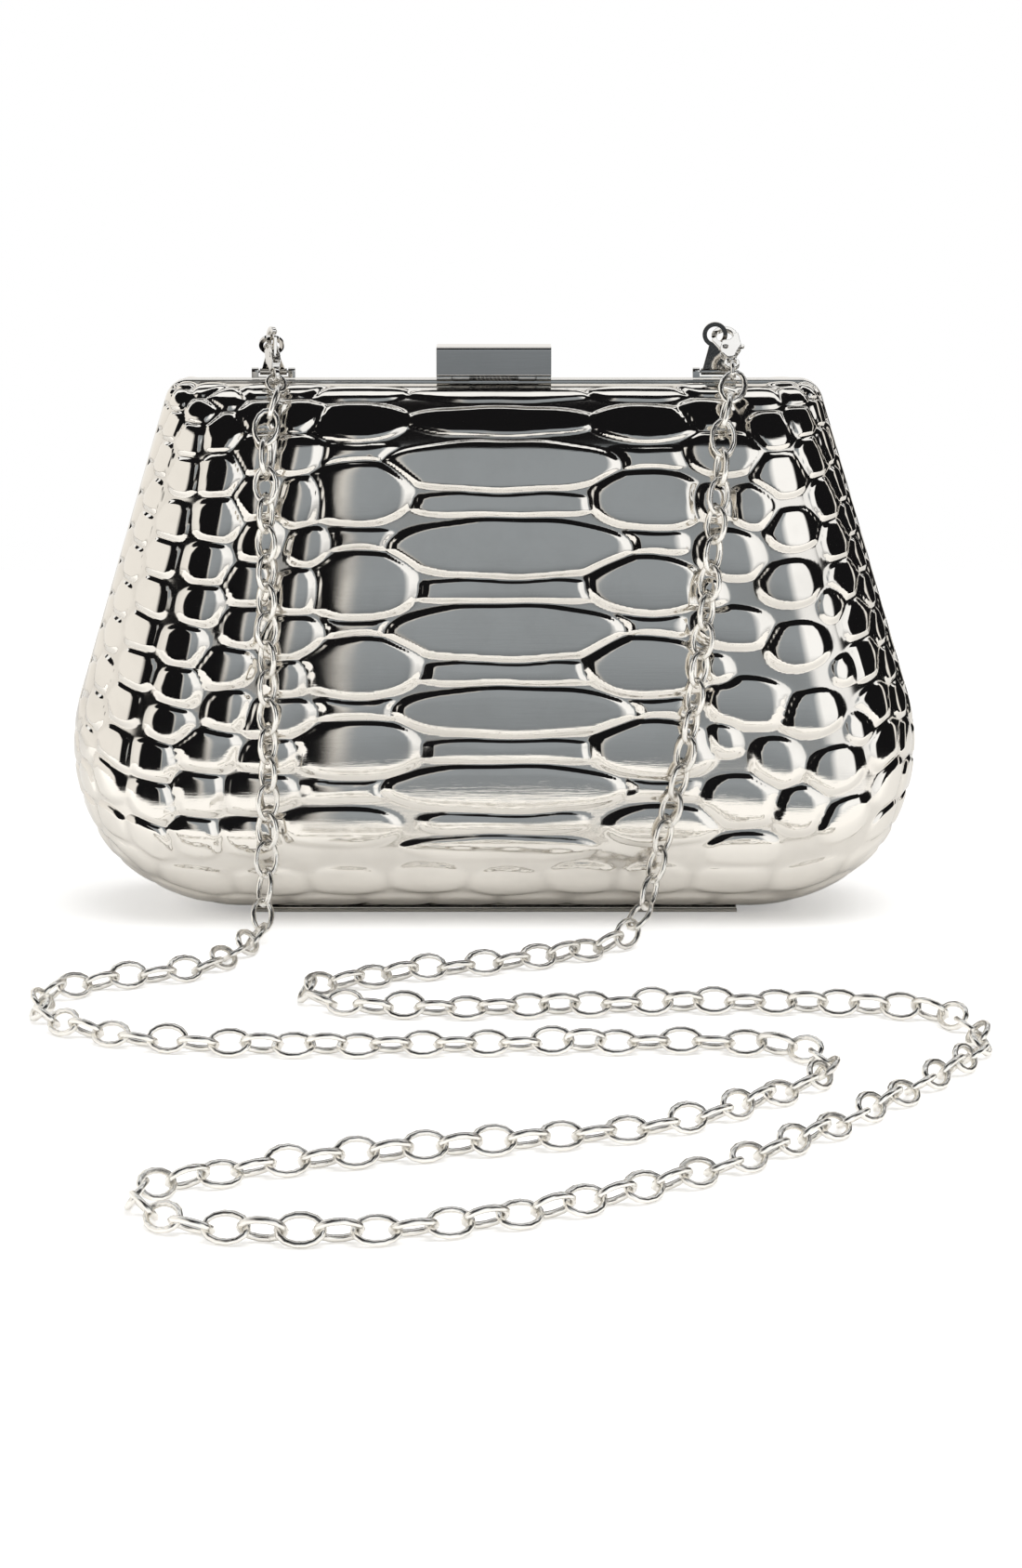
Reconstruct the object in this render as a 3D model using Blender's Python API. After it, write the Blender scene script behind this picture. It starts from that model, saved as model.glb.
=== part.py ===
"""Hard metal evening clutch with scale-embossed halves, a sprung top clasp and a detachable chain strap.

The clutch stands on its hinge. X runs to the right, Y to the back and Z up, in metres. The front half
is fixed and the back half swings backwards about the hinge pin along the bottom of the seam.
"""

import math

import bmesh
import bpy
import numpy as np
from mathutils import Matrix, Vector
from mathutils.geometry import delaunay_2d_cdt

MM = 0.001

# Clearances between pieces that touch, and between pieces that run on each other
SEAT_GAP = 0.3 * MM
RUNNING_GAP = 0.2 * MM
CUT_OVERRUN = 1.0 * MM

# Frames: two flat rings of the same outline, face to face at the seam
BAG_WIDTH = 185.8 * MM
TOP_WIDTH = 140.2 * MM
FRAME_HEIGHT = 116.8 * MM
TOP_CORNER_RADIUS = 5.0 * MM
BOTTOM_CORNER_RADIUS = 37.0 * MM
FRAME_DEPTH = 2.5 * MM
FRAME_WALL = 3.2 * MM
TOP_CORNER_STEPS = 5
BOTTOM_CORNER_STEPS = 10

# Embossed shells
RIM_WIDTH = 0.7 * MM
SHELL_DEPTH = 22.0 * MM
TOP_SLIMMING_SHARE = 0.35
SHELL_ROUNDING = 21.0 * MM
SHELL_WALL = 0.8 * MM
RELIEF_HEIGHT = 1.3 * MM
SHELL_COLUMNS = 34
SHELL_ROWS = 26
BACKING_COLUMNS = 20
BACKING_ROWS = 16

# Scale pattern on the unrolled shell. A scale is its centre across and up, its half width and half
# height, as shares of the shell's half girth and half rise, and the share of the relief that it has.
SCALE_SHARES = (
    # centre scales and the saddles between them
    (0.021, 0.858, 0.247, 0.046, 0.80), (0.021, 0.739, 0.252, 0.057, 0.90),
    (0.021, 0.593, 0.289, 0.080, 1.00), (0.021, 0.475, 0.182, 0.033, 0.50),
    (0.038, 0.341, 0.279, 0.092, 1.00), (0.030, 0.211, 0.177, 0.033, 0.50),
    (0.027, 0.083, 0.257, 0.088, 1.00), (0.035, -0.042, 0.166, 0.033, 0.50),
    (0.043, -0.162, 0.244, 0.079, 1.00), (0.032, -0.284, 0.155, 0.033, 0.50),
    (0.021, -0.397, 0.236, 0.073, 1.00), (0.021, -0.499, 0.139, 0.029, 0.45),
    (0.011, -0.578, 0.193, 0.043, 0.70),
    # first columns on either side
    (0.386, 0.868, 0.129, 0.049, 0.80), (0.391, 0.735, 0.137, 0.069, 1.00),
    (0.386, 0.614, 0.086, 0.033, 0.50), (0.375, 0.488, 0.129, 0.085, 1.00),
    (0.364, 0.359, 0.080, 0.033, 0.50), (0.347, 0.228, 0.122, 0.083, 1.00),
    (0.338, 0.103, 0.080, 0.032, 0.50), (0.328, -0.023, 0.120, 0.086, 1.00),
    (0.322, -0.152, 0.080, 0.032, 0.50), (0.322, -0.277, 0.114, 0.083, 1.00),
    (0.327, -0.399, 0.075, 0.030, 0.45), (0.332, -0.508, 0.102, 0.057, 0.90),
    (-0.364, 0.868, 0.129, 0.049, 0.80), (-0.359, 0.739, 0.134, 0.070, 1.00),
    (-0.343, 0.626, 0.091, 0.033, 0.50), (-0.330, 0.506, 0.124, 0.088, 1.00),
    (-0.315, 0.367, 0.075, 0.033, 0.50), (-0.298, 0.227, 0.114, 0.095, 1.00),
    (-0.289, 0.100, 0.080, 0.032, 0.50), (-0.286, -0.026, 0.122, 0.086, 1.00),
    (-0.281, -0.154, 0.084, 0.032, 0.50), (-0.277, -0.280, 0.120, 0.082, 1.00),
    (-0.289, -0.402, 0.084, 0.032, 0.45), (-0.311, -0.514, 0.118, 0.057, 0.90),
    # smaller scales on the right
    (0.568, 0.897, 0.071, 0.052, 0.80), (0.557, 0.766, 0.071, 0.060, 0.90),
    (0.579, 0.631, 0.090, 0.066, 1.00), (0.525, 0.479, 0.047, 0.055, 0.85),
    (0.622, 0.465, 0.054, 0.062, 0.90), (0.547, 0.321, 0.073, 0.072, 1.00),
    (0.487, 0.201, 0.036, 0.043, 0.70), (0.525, 0.100, 0.080, 0.063, 1.00),
    (0.475, -0.029, 0.034, 0.043, 0.70), (0.532, -0.135, 0.081, 0.075, 1.00),
    (0.465, -0.250, 0.034, 0.049, 0.70), (0.566, -0.316, 0.049, 0.072, 0.95),
    (0.489, -0.433, 0.073, 0.072, 0.95), (0.600, -0.468, 0.051, 0.066, 0.90),
    (0.493, -0.588, 0.069, 0.055, 0.80), (0.707, 0.839, 0.060, 0.057, 0.80),
    (0.714, 0.703, 0.060, 0.063, 0.90), (0.710, 0.554, 0.069, 0.065, 0.95),
    (0.710, 0.382, 0.064, 0.062, 0.95), (0.671, 0.221, 0.069, 0.067, 1.00),
    (0.658, 0.029, 0.066, 0.069, 1.00), (0.656, -0.181, 0.064, 0.067, 0.95),
    (0.682, -0.367, 0.056, 0.066, 0.90), (0.697, -0.531, 0.056, 0.063, 0.85),
    (0.752, -0.080, 0.036, 0.047, 0.80), (0.757, 0.129, 0.036, 0.052, 0.80),
    (0.752, -0.264, 0.036, 0.052, 0.80),
    # smaller scales on the left
    (-0.514, 0.890, 0.064, 0.052, 0.80), (-0.504, 0.760, 0.064, 0.060, 0.90),
    (-0.493, 0.628, 0.060, 0.060, 0.90), (-0.465, 0.482, 0.058, 0.070, 1.00),
    (-0.431, 0.347, 0.047, 0.057, 0.90), (-0.444, 0.207, 0.054, 0.066, 0.95),
    (-0.439, 0.066, 0.064, 0.063, 1.00), (-0.437, -0.060, 0.047, 0.053, 0.90),
    (-0.442, -0.181, 0.073, 0.060, 1.00), (-0.448, -0.300, 0.056, 0.052, 0.90),
    (-0.465, -0.413, 0.077, 0.057, 0.95), (-0.482, -0.545, 0.064, 0.057, 0.85),
    (-0.617, 0.890, 0.058, 0.055, 0.80), (-0.607, 0.760, 0.058, 0.063, 0.90),
    (-0.596, 0.628, 0.056, 0.065, 0.95), (-0.572, 0.494, 0.054, 0.066, 1.00),
    (-0.544, 0.362, 0.047, 0.063, 0.95), (-0.553, 0.230, 0.053, 0.063, 0.95),
    (-0.547, 0.100, 0.048, 0.060, 0.90), (-0.570, -0.029, 0.057, 0.060, 1.00),
    (-0.547, -0.161, 0.047, 0.060, 0.90), (-0.574, -0.284, 0.062, 0.062, 1.00),
    (-0.579, -0.419, 0.054, 0.063, 0.90), (-0.587, -0.551, 0.054, 0.060, 0.85),
    (-0.712, 0.838, 0.054, 0.060, 0.85), (-0.692, 0.697, 0.058, 0.065, 0.90),
    (-0.673, 0.557, 0.056, 0.065, 0.95), (-0.656, 0.422, 0.057, 0.065, 1.00),
    (-0.658, 0.287, 0.053, 0.062, 0.95), (-0.650, 0.155, 0.050, 0.060, 0.90),
    (-0.671, 0.026, 0.050, 0.060, 0.95), (-0.660, -0.100, 0.048, 0.057, 0.90),
    (-0.662, -0.218, 0.047, 0.055, 0.90), (-0.682, -0.339, 0.050, 0.059, 0.90),
    (-0.675, -0.465, 0.050, 0.060, 0.90), (-0.684, -0.588, 0.050, 0.057, 0.80),
)
# Pebbled columns at the sides: centre, pitch and start up the shell, half width and half height
PEBBLE_COLUMN_SHARES = (
    (-0.775, 0.125, 0.03, 0.049, 0.06), (-0.862, 0.122, 0.09, 0.045, 0.058), (-0.945, 0.12, 0.02, 0.041, 0.057),
    (0.812, 0.135, 0.05, 0.052, 0.063), (0.895, 0.128, 0.11, 0.045, 0.06), (0.968, 0.122, 0.04, 0.038, 0.058),
)
# Pebbled rows along the bottom: height, pitch and start across, half width and half height
PEBBLE_ROW_SHARES = (
    (-0.705, 0.155, 0.02, 0.077, 0.062), (-0.835, 0.15, 0.09, 0.074, 0.06), (-0.955, 0.145, 0.03, 0.07, 0.056),
)
PEBBLE_RELIEF_SHARE = 0.8
PEBBLE_SCATTER_SHARE = 0.012
PEBBLE_SEED = 5
ROW_REACH_SHARE = 0.72
SCALE_EDGE_WIDTH = 1.5 * MM
SPREAD_SHARE = 1.04
CROWN_SHARE = 0.16
RIM_FADE = 3.5 * MM
BOTTOM_FADE = 26.0 * MM
BOTTOM_RELIEF_SHARE = 0.3

# Corners of the faceted embossing
CORNER_PITCH = 4.9 * MM
LEAST_CORNERS = 6
MOST_CORNERS = 22
TOP_EDGE_SHARE = 0.75
CREST_SLENDER_SHARE = 2.0
SCALE_REACH_SHARE = 1.3
SCALE_REACH_STEPS = 80
TOP_CORNER_GAP = 0.7 * MM
FOOT_CORNER_GAP = 1.5 * MM
RIM_CORNER_GAP = 1.2 * MM
NORMAL_STEP_SHARE = 0.002

# Lining trays
LINING_GAP = 1.2 * MM
LINING_WALL = 0.8 * MM
LINING_ROUNDING = 17.0 * MM
LINING_RECESS = 0.5 * MM
LINING_COLUMNS = 14
LINING_ROWS = 12

# Piano hinge along the bottom
LEAF_THICKNESS = 0.6 * MM
LEAF_WIDTH = 7.0 * MM
BARREL_RADIUS = 1.3 * MM
HINGE_PIN_RADIUS = 0.45 * MM
HINGE_BORE_RADIUS = 0.75 * MM
KNUCKLE_PITCH = 9.8 * MM
KNUCKLE_COUNT = 11
SMALL_ROUND_SIDES = 12

# Clasp: base and pin on the front frame, catch on the back frame, sprung lever over both
CLASP_WIDTH = 24.8 * MM
CLASP_PLATE = 0.5 * MM
CLASP_KNUCKLE_RADIUS = 0.9 * MM
CLASP_KNUCKLE_WIDTH = 3.2 * MM
CLASP_BORE_RADIUS = 0.6 * MM
CLASP_PIN_RADIUS = 0.4 * MM
CLASP_PIN_FORWARD = 3.9 * MM
CLASP_PIN_LIFT = 0.6 * MM
LEVER_TOP_LIFT = 7.2 * MM
LEVER_SKIRT_DROP = 0.3 * MM
LEVER_KNUCKLE_WIDTH = 3.6 * MM
LEVER_LIP_BACK = 2.85 * MM
LEVER_LIP_LIFT = 1.5 * MM
LEVER_FILLET = 0.25 * MM
CATCH_HEIGHT = 2.8 * MM
CATCH_BACK = 2.2 * MM
CATCH_NECK = 0.7 * MM
CATCH_CAM = 0.3 * MM
CATCH_FOOT_WIDTH = 20.0 * MM
SPRING_WIRE_RADIUS = 0.16 * MM
SPRING_COIL_RADIUS = 0.72 * MM
SPRING_END_GAP = 1.2 * MM
SPRING_TURN_PITCH = 0.86 * MM
SPRING_POINTS_PER_TURN = 8
SPRING_LEAST_GAP = 0.4 * MM

# Ears: eyelets that fold on a pin between the lugs of a bracket on the front frame
EAR_SPACING = 95.6 * MM
EAR_BRACKET_WIDTH = 9.4 * MM
EAR_BRACKET_PLATE = 0.3 * MM
EAR_LUG_WIDTH = 1.5 * MM
EAR_LUG_RADIUS = 0.85 * MM
EAR_KNUCKLE_RADIUS = 0.75 * MM
EAR_BORE_RADIUS = 0.5 * MM
EAR_PIN_RADIUS = 0.3 * MM
EAR_AXIS_DEPTH = 1.4 * MM
EAR_AXIS_LIFT = 1.6 * MM
EAR_THICKNESS = 0.7 * MM
EAR_LENGTH = 8.15 * MM
EAR_RING_RADIUS = 2.7 * MM
EAR_HOLE_RADIUS = 1.75 * MM
EAR_STEM_FOOT_WIDTH = 5.4 * MM
EAR_STEM_NECK_WIDTH = 2.4 * MM
LEFT_EAR_LEAN = 40.0
RIGHT_EAR_LEAN = 6.0
EYE_SIDES = 20

# Lobster clasps that join the strap to the ears
LOOP_RADIUS = 2.3 * MM
HOOK_WIDTH = 1.1 * MM
CLAW_THICKNESS = 2.0 * MM
CLAW_LENGTH = 7.1 * MM
CLAW_NECK = 0.8 * MM
CLAW_BACK_SHARE = 1.03
CLAW_FRONT_SHARE = 0.95
CLAW_EYE_DROP = 8.3 * MM
CLAW_EYE_RADIUS = 1.7 * MM
CLAW_EYE_HOLE = 0.95 * MM
CLAW_EYE_THICKNESS = 1.0 * MM
NOSE_ANGLE = 12.0
NOSE_GAP = 0.35 * MM
SLOT_WIDTH = 1.2 * MM
SLOT_IN = 0.8 * MM
SLOT_FOOT = 6.0 * MM
WINDOW_HEAD = 2.6 * MM
GATE_THICKNESS = 0.7 * MM
GATE_TIP_DROP = 0.32 * MM
GATE_PIVOT_OUT = 0.6 * MM
GATE_PIVOT_DROP = 3.9 * MM
GATE_BOSS_RADIUS = 0.85 * MM
GATE_HEEL_TURN = math.radians(150.0)
GATE_BORE_RADIUS = 0.5 * MM
GATE_PIN_RADIUS = 0.3 * MM
GATE_TAB_REACH = 3.7 * MM
GATE_TAB_WIDTH = 0.9 * MM
GATE_SPRING_OUT = 2.0 * MM
GATE_SPRING_THICKNESS = 0.2 * MM
GATE_SPRING_HEAD = 5.0 * MM
BAND_OUT = 0.3 * MM
BAND_DOWN = 0.75 * MM
LEFT_HANG = (0.12, -0.5, -0.86)
RIGHT_HANG = (0.15, -0.76, -0.63)
LEFT_GATE_SIDE = (0.34, -0.94, 0.0)
RIGHT_GATE_SIDE = (-1.0, 0.0, 0.0)
LEFT_BAND_ANGLE = 90.0
RIGHT_BAND_ANGLE = 0.0
JUMP_RING_RADIUS = 2.0 * MM
JUMP_RING_TILT_SHARE = 0.4
JUMP_RING_WIRE = 0.4 * MM

# Chain strap: a tube of the links' width along this route, from beyond the left claw's jump ring
# down the front, over the surface in loops and up to the right claw
CHAIN_RADIUS = 3.15 * MM
CHAIN_POINTS = 80
SHOULDER_POINTS = 7
SHOULDER_RUN = 44.0 * MM
CHAIN_SIDES_RESOLUTION = 2
STRAP_END_GAP = 3.0 * MM
SHOULDER_SAMPLES = 300
CHAIN_ROUTE = (
    (-48.0, -18.9, 111.9), (-48.3, -22.2, 104.5), (-48.4, -23.8, 95.0), (-48.6, -28.0, 30.0),
    (-49.2, -29.3, 13.5), (-50.0, -34.5, 4.8), (-52.0, -43.5, 3.2), (-61.0, -63.5, 3.2),
    (-78.0, -73.0, 3.2), (-88.6, -83.0, 3.2), (-88.3, -99.5, 3.2), (-76.0, -111.5, 3.2),
    (-55.0, -119.5, 3.2), (19.0, -118.8, 3.2), (45.0, -118.6, 3.2), (60.5, -125.5, 3.2),
    (62.3, -139.0, 3.2), (50.5, -154.0, 3.2), (33.0, -170.0, 3.2), (-40.0, -195.5, 3.2),
    (-58.5, -210.0, 3.2), (-51.5, -223.5, 3.2), (-28.0, -229.5, 3.2), (8.0, -218.5, 3.2),
    (44.0, -191.0, 3.2), (74.0, -154.0, 3.2), (93.8, -118.5, 3.2), (87.5, -98.0, 3.2),
    (58.0, -90.5, 3.2), (-27.5, -92.0, 3.2), (-37.5, -80.5, 3.2), (-22.0, -68.6, 3.2),
    (10.0, -54.8, 3.2), (27.5, -41.0, 3.6), (33.2, -31.5, 10.0), (36.5, -28.6, 22.0),
    (41.6, -27.3, 42.0), (47.6, -24.0, 92.0), (48.6, -22.2, 104.5), (49.2, -18.9, 111.9),
)

PALE_NICKEL = (0.78, 0.76, 0.72, 1.0)
DARK_NICKEL = (0.52, 0.52, 0.52, 1.0)
STEEL = (0.62, 0.60, 0.56, 1.0)
LINING_BLACK = (0.03, 0.03, 0.032, 1.0)

SEAM_HALF = SEAT_GAP / 2
FRAME_FOOT = LEAF_THICKNESS + SEAT_GAP
FRAME_TOP = FRAME_FOOT + FRAME_HEIGHT
FRAME_FACE = SEAM_HALF + FRAME_DEPTH
SHELL_BASE = FRAME_FACE + SEAT_GAP
HINGE_HEIGHT = BARREL_RADIUS
KNUCKLE_CUT_RADIUS = BARREL_RADIUS + SEAT_GAP


def clear_scene():
    for obj in list(bpy.data.objects):
        bpy.data.objects.remove(obj, do_unlink=True)


def make_material(name, colour, metallic, roughness):
    material = bpy.data.materials.new(name)
    material.use_nodes = True
    shader = material.node_tree.nodes["Principled BSDF"]
    shader.inputs["Base Color"].default_value = colour
    shader.inputs["Metallic"].default_value = metallic
    shader.inputs["Roughness"].default_value = roughness
    material.diffuse_color = colour
    return material


def add_object(name, mesh, material=None, smooth=True):
    obj = bpy.data.objects.new(name, mesh)
    bpy.context.scene.collection.objects.link(obj)
    if material:
        mesh.materials.append(material)
    if smooth:
        mesh.shade_smooth()
        mesh.set_sharp_from_angle(angle=math.radians(35))
    return obj


def mesh_from_bmesh(name, shape):
    bmesh.ops.recalc_face_normals(shape, faces=shape.faces)
    mesh = bpy.data.meshes.new(name)
    shape.to_mesh(mesh)
    shape.free()
    return mesh


def prism(name, outline, start, end, frame=None):
    """A flat outline of (across, up) points pushed from start to end along the frame's depth axis."""
    frame = frame or Matrix(((1, 0, 0, 0), (0, 0, 1, 0), (0, 1, 0, 0), (0, 0, 0, 1)))
    shape = bmesh.new()
    low = [shape.verts.new(frame @ Vector((a, b, start))) for a, b in outline]
    high = [shape.verts.new(frame @ Vector((a, b, end))) for a, b in outline]
    shape.faces.new(low)
    shape.faces.new(reversed(high))
    for i, (a, b) in enumerate(zip(low, high)):
        j = (i + 1) % len(low)
        shape.faces.new((a, b, high[j], low[j]))
    return add_object(name, mesh_from_bmesh(name, shape))


def box(name, low, high):
    outline = ((low[0], low[2]), (high[0], low[2]), (high[0], high[2]), (low[0], high[2]))
    return prism(name, outline, low[1], high[1])


def rod(name, start, end, radius, sides=SMALL_ROUND_SIDES):
    """A straight round bar between two points."""
    start, end = Vector(start), Vector(end)
    along = end - start
    shape = bmesh.new()
    turn = along.to_track_quat("Z", "Y").to_matrix().to_4x4()
    bmesh.ops.create_cone(
        shape, cap_ends=True, segments=sides, radius1=radius, radius2=radius, depth=along.length,
        matrix=Matrix.Translation((start + end) / 2) @ turn,
    )
    return add_object(name, mesh_from_bmesh(name, shape))


def combine(target, other, operation):
    """Joins, cuts or intersects target with other, which is used up."""
    modifier = target.modifiers.new(operation.lower(), "BOOLEAN")
    modifier.operation = operation
    modifier.solver = "EXACT"
    modifier.object = other
    graph = bpy.context.evaluated_depsgraph_get()
    result = bpy.data.meshes.new_from_object(target.evaluated_get(graph))
    target.modifiers.clear()
    target.data = result
    bpy.data.objects.remove(other, do_unlink=True)
    return target


def finish(obj, name, material):
    obj.name = name
    obj.data.name = name
    obj.data.materials.clear()
    obj.data.materials.append(material)
    obj.data.shade_smooth()
    obj.data.set_sharp_from_angle(angle=math.radians(35))
    return obj


def pivot_empty(name, place, parent=None):
    empty = bpy.data.objects.new(name, None)
    bpy.context.scene.collection.objects.link(empty)
    empty.location = Vector(place)
    if parent:
        empty.parent = parent
        empty.location = Vector(place) - parent.matrix_world.translation
    bpy.context.view_layer.update()
    return empty


def carry(pivot, *pieces):
    """Hangs pieces on a pivot, with their origins on its axis."""
    origin = pivot.matrix_world.translation
    for piece in pieces:
        piece.data.transform(Matrix.Translation(-origin))
        piece.parent = pivot


def corner_points(centre, radius, first, last, steps):
    angles = [first + (last - first) * i / steps for i in range(steps + 1)]
    return [(centre[0] + radius * math.cos(t), centre[1] + radius * math.sin(t)) for t in angles]


class FrameOutline:
    """Half of the trapezoid with round corners that all the big pieces follow, moved in by an inset."""

    def __init__(self, inset):
        top_corner = TOP_CORNER_RADIUS
        self.low_centre = (BAG_WIDTH / 2 - BOTTOM_CORNER_RADIUS, FRAME_FOOT + BOTTOM_CORNER_RADIUS)
        across = TOP_WIDTH / 2 - self.low_centre[0]
        up = FRAME_TOP - self.low_centre[1]
        self.lean = math.atan2(up, across) - math.acos(BOTTOM_CORNER_RADIUS / math.hypot(across, up))
        draw_in = top_corner * (1 - math.sin(self.lean)) / math.cos(self.lean)
        self.high_centre = (TOP_WIDTH / 2 - draw_in, FRAME_TOP - top_corner)
        self.low_radius = BOTTOM_CORNER_RADIUS - inset
        self.high_radius = top_corner - inset

    def right_side(self, low_steps=BOTTOM_CORNER_STEPS, high_steps=TOP_CORNER_STEPS):
        """Points from the middle of the bottom up to the middle of the top, on the right."""
        low = corner_points(self.low_centre, self.low_radius, -math.pi / 2, self.lean, low_steps)
        high = corner_points(self.high_centre, self.high_radius, self.lean, math.pi / 2, high_steps)
        return low + high

    def loop(self):
        right = self.right_side()
        return right + [(-x, z) for x, z in reversed(right)]

    def edges(self, samples=400):
        """The bottom, right, top and left edges, each parted from the next half way round a corner."""
        low_middle = (self.lean - math.pi / 2) / 2
        high_middle = (self.lean + math.pi / 2) / 2
        low, high = self.low_centre, self.high_centre
        foot = corner_points(low, self.low_radius, -math.pi / 2, low_middle, samples)
        side = corner_points(low, self.low_radius, low_middle, self.lean, samples)
        side += corner_points(high, self.high_radius, self.lean, high_middle, samples)
        head = corner_points(high, self.high_radius, high_middle, math.pi / 2, samples)
        bottom = [(-x, z) for x, z in reversed(foot)] + foot
        top = [(-x, z) for x, z in head] + list(reversed(head))
        return bottom, side, top, [(-x, z) for x, z in side]


def along_line(points, shares):
    """Places at given shares of a line's length."""
    line = np.array(points)
    steps = np.concatenate([[0.0], np.cumsum(np.hypot(*np.diff(line, axis=0).T))])
    wanted = np.asarray(shares) * steps[-1]
    return np.stack([np.interp(wanted, steps, line[:, k]) for k in (0, 1)], axis=-1)


def smooth_step(x):
    x = np.clip(x, 0.0, 1.0)
    return x * x * (3.0 - 2.0 * x)


def scale_sites(half_girth, half_rise):
    """Centre, half width, half height and relief of every scale, in the shell's unrolled plane."""
    scatter = np.random.default_rng(PEBBLE_SEED)
    shares = list(SCALE_SHARES)
    for across, pitch, start, width, height in PEBBLE_COLUMN_SHARES:
        count = round(1 / pitch)
        for row in range(-count, count + 1):
            shares.append((across, start + row * pitch, width, height, PEBBLE_RELIEF_SHARE))
    for rise, pitch, start, width, height in PEBBLE_ROW_SHARES:
        count = round(ROW_REACH_SHARE / pitch)
        for column in range(-count, count + 1):
            shares.append((start + column * pitch, rise, width, height, PEBBLE_RELIEF_SHARE))
    sites = np.array(shares)
    loose = np.arange(len(sites)) >= len(SCALE_SHARES)
    sites[loose, :2] += scatter.uniform(-PEBBLE_SCATTER_SHARE, PEBBLE_SCATTER_SHARE, (loose.sum(), 2))
    return sites * np.array([half_girth, half_rise, half_girth, half_rise, 1.0])


def nearest_scale(across, rise, sites):
    """The number of the scale each point belongs to, its share of the way out, and how far inside it lies.

    A point is inside a scale by its distance to the scale's oval or to the next scale, the shorter one.
    """
    away, up = across[..., None] - sites[:, 0], rise[..., None] - sites[:, 1]
    wide, high = sites[:, 2] * SPREAD_SHARE, sites[:, 3] * SPREAD_SHARE
    gap = np.hypot(away / wide, up / high)
    steep = np.hypot(away / wide**2, up / high**2) / np.maximum(gap, 1e-9)
    order = np.argsort(gap, axis=-1)[..., :2]
    first, second = np.moveaxis(np.take_along_axis(gap, order, axis=-1), -1, 0)
    own_slope, next_slope = np.moveaxis(np.take_along_axis(steep, order, axis=-1), -1, 0)
    to_neighbour = (second - first) / np.maximum(own_slope + next_slope, 1e-9)
    to_outline = (1.0 - first) / np.maximum(own_slope, 1e-9)
    return order[..., 0], first, np.minimum(to_neighbour, to_outline)


def relief(across, rise, sites, half_girth, half_rise):
    """Height of the embossing: a plateau with a soft edge on each scale."""
    own, first, inside = nearest_scale(across, rise, sites)
    crown = 1.0 - CROWN_SHARE * np.minimum(first, 1.0) ** 2
    edge = np.minimum(half_girth - np.abs(across), half_rise - np.abs(rise))
    soft = BOTTOM_RELIEF_SHARE + (1 - BOTTOM_RELIEF_SHARE) * smooth_step((rise + half_rise) / BOTTOM_FADE)
    plateau = smooth_step(inside / SCALE_EDGE_WIDTH) * crown * sites[own, 4]
    return RELIEF_HEIGHT * plateau * smooth_step(edge / RIM_FADE) * soft


def scale_corners(sites, half_girth, half_rise):
    """Corner points of the embossing: a crest, the edge of the top and the foot of every scale."""
    tops, feet = [], []
    reach = np.linspace(0.0, SCALE_REACH_SHARE, SCALE_REACH_STEPS)
    for number, (across, rise, width, height, _) in enumerate(sites):
        turns = int(np.clip(round(4 * (width + height) / CORNER_PITCH), LEAST_CORNERS, MOST_CORNERS))
        angle = 2 * math.pi * (np.arange(turns) + 0.5) / turns
        x = across + np.outer(np.cos(angle) * width, reach)
        z = rise + np.outer(np.sin(angle) * height, reach)
        own, _, inside = nearest_scale(x, z, sites)
        held = np.logical_and.accumulate((own == number) & (inside > 0.0), axis=1)
        edge = np.sum(held & (inside > SCALE_EDGE_WIDTH * TOP_EDGE_SHARE), axis=1) - 1
        foot = np.sum(held, axis=1) - 1
        tops.append((across, rise))
        if width > CREST_SLENDER_SHARE * height:
            tops += [(across - width / 2, rise), (across + width / 2, rise)]
        for i in range(turns):
            if edge[i] > 0:
                tops.append((x[i, edge[i]], z[i, edge[i]]))
            if foot[i] > 0:
                feet.append((x[i, foot[i]], z[i, foot[i]]))
    kept = []
    for points, least in ((tops, TOP_CORNER_GAP), (feet, FOOT_CORNER_GAP)):
        for place in points:
            margin = min(half_girth - abs(place[0]), half_rise - abs(place[1]))
            clear = not kept or np.min(np.hypot(*(np.array(kept) - place).T)) > least
            if margin > RIM_CORNER_GAP and clear:
                kept.append(place)
    return kept


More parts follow.
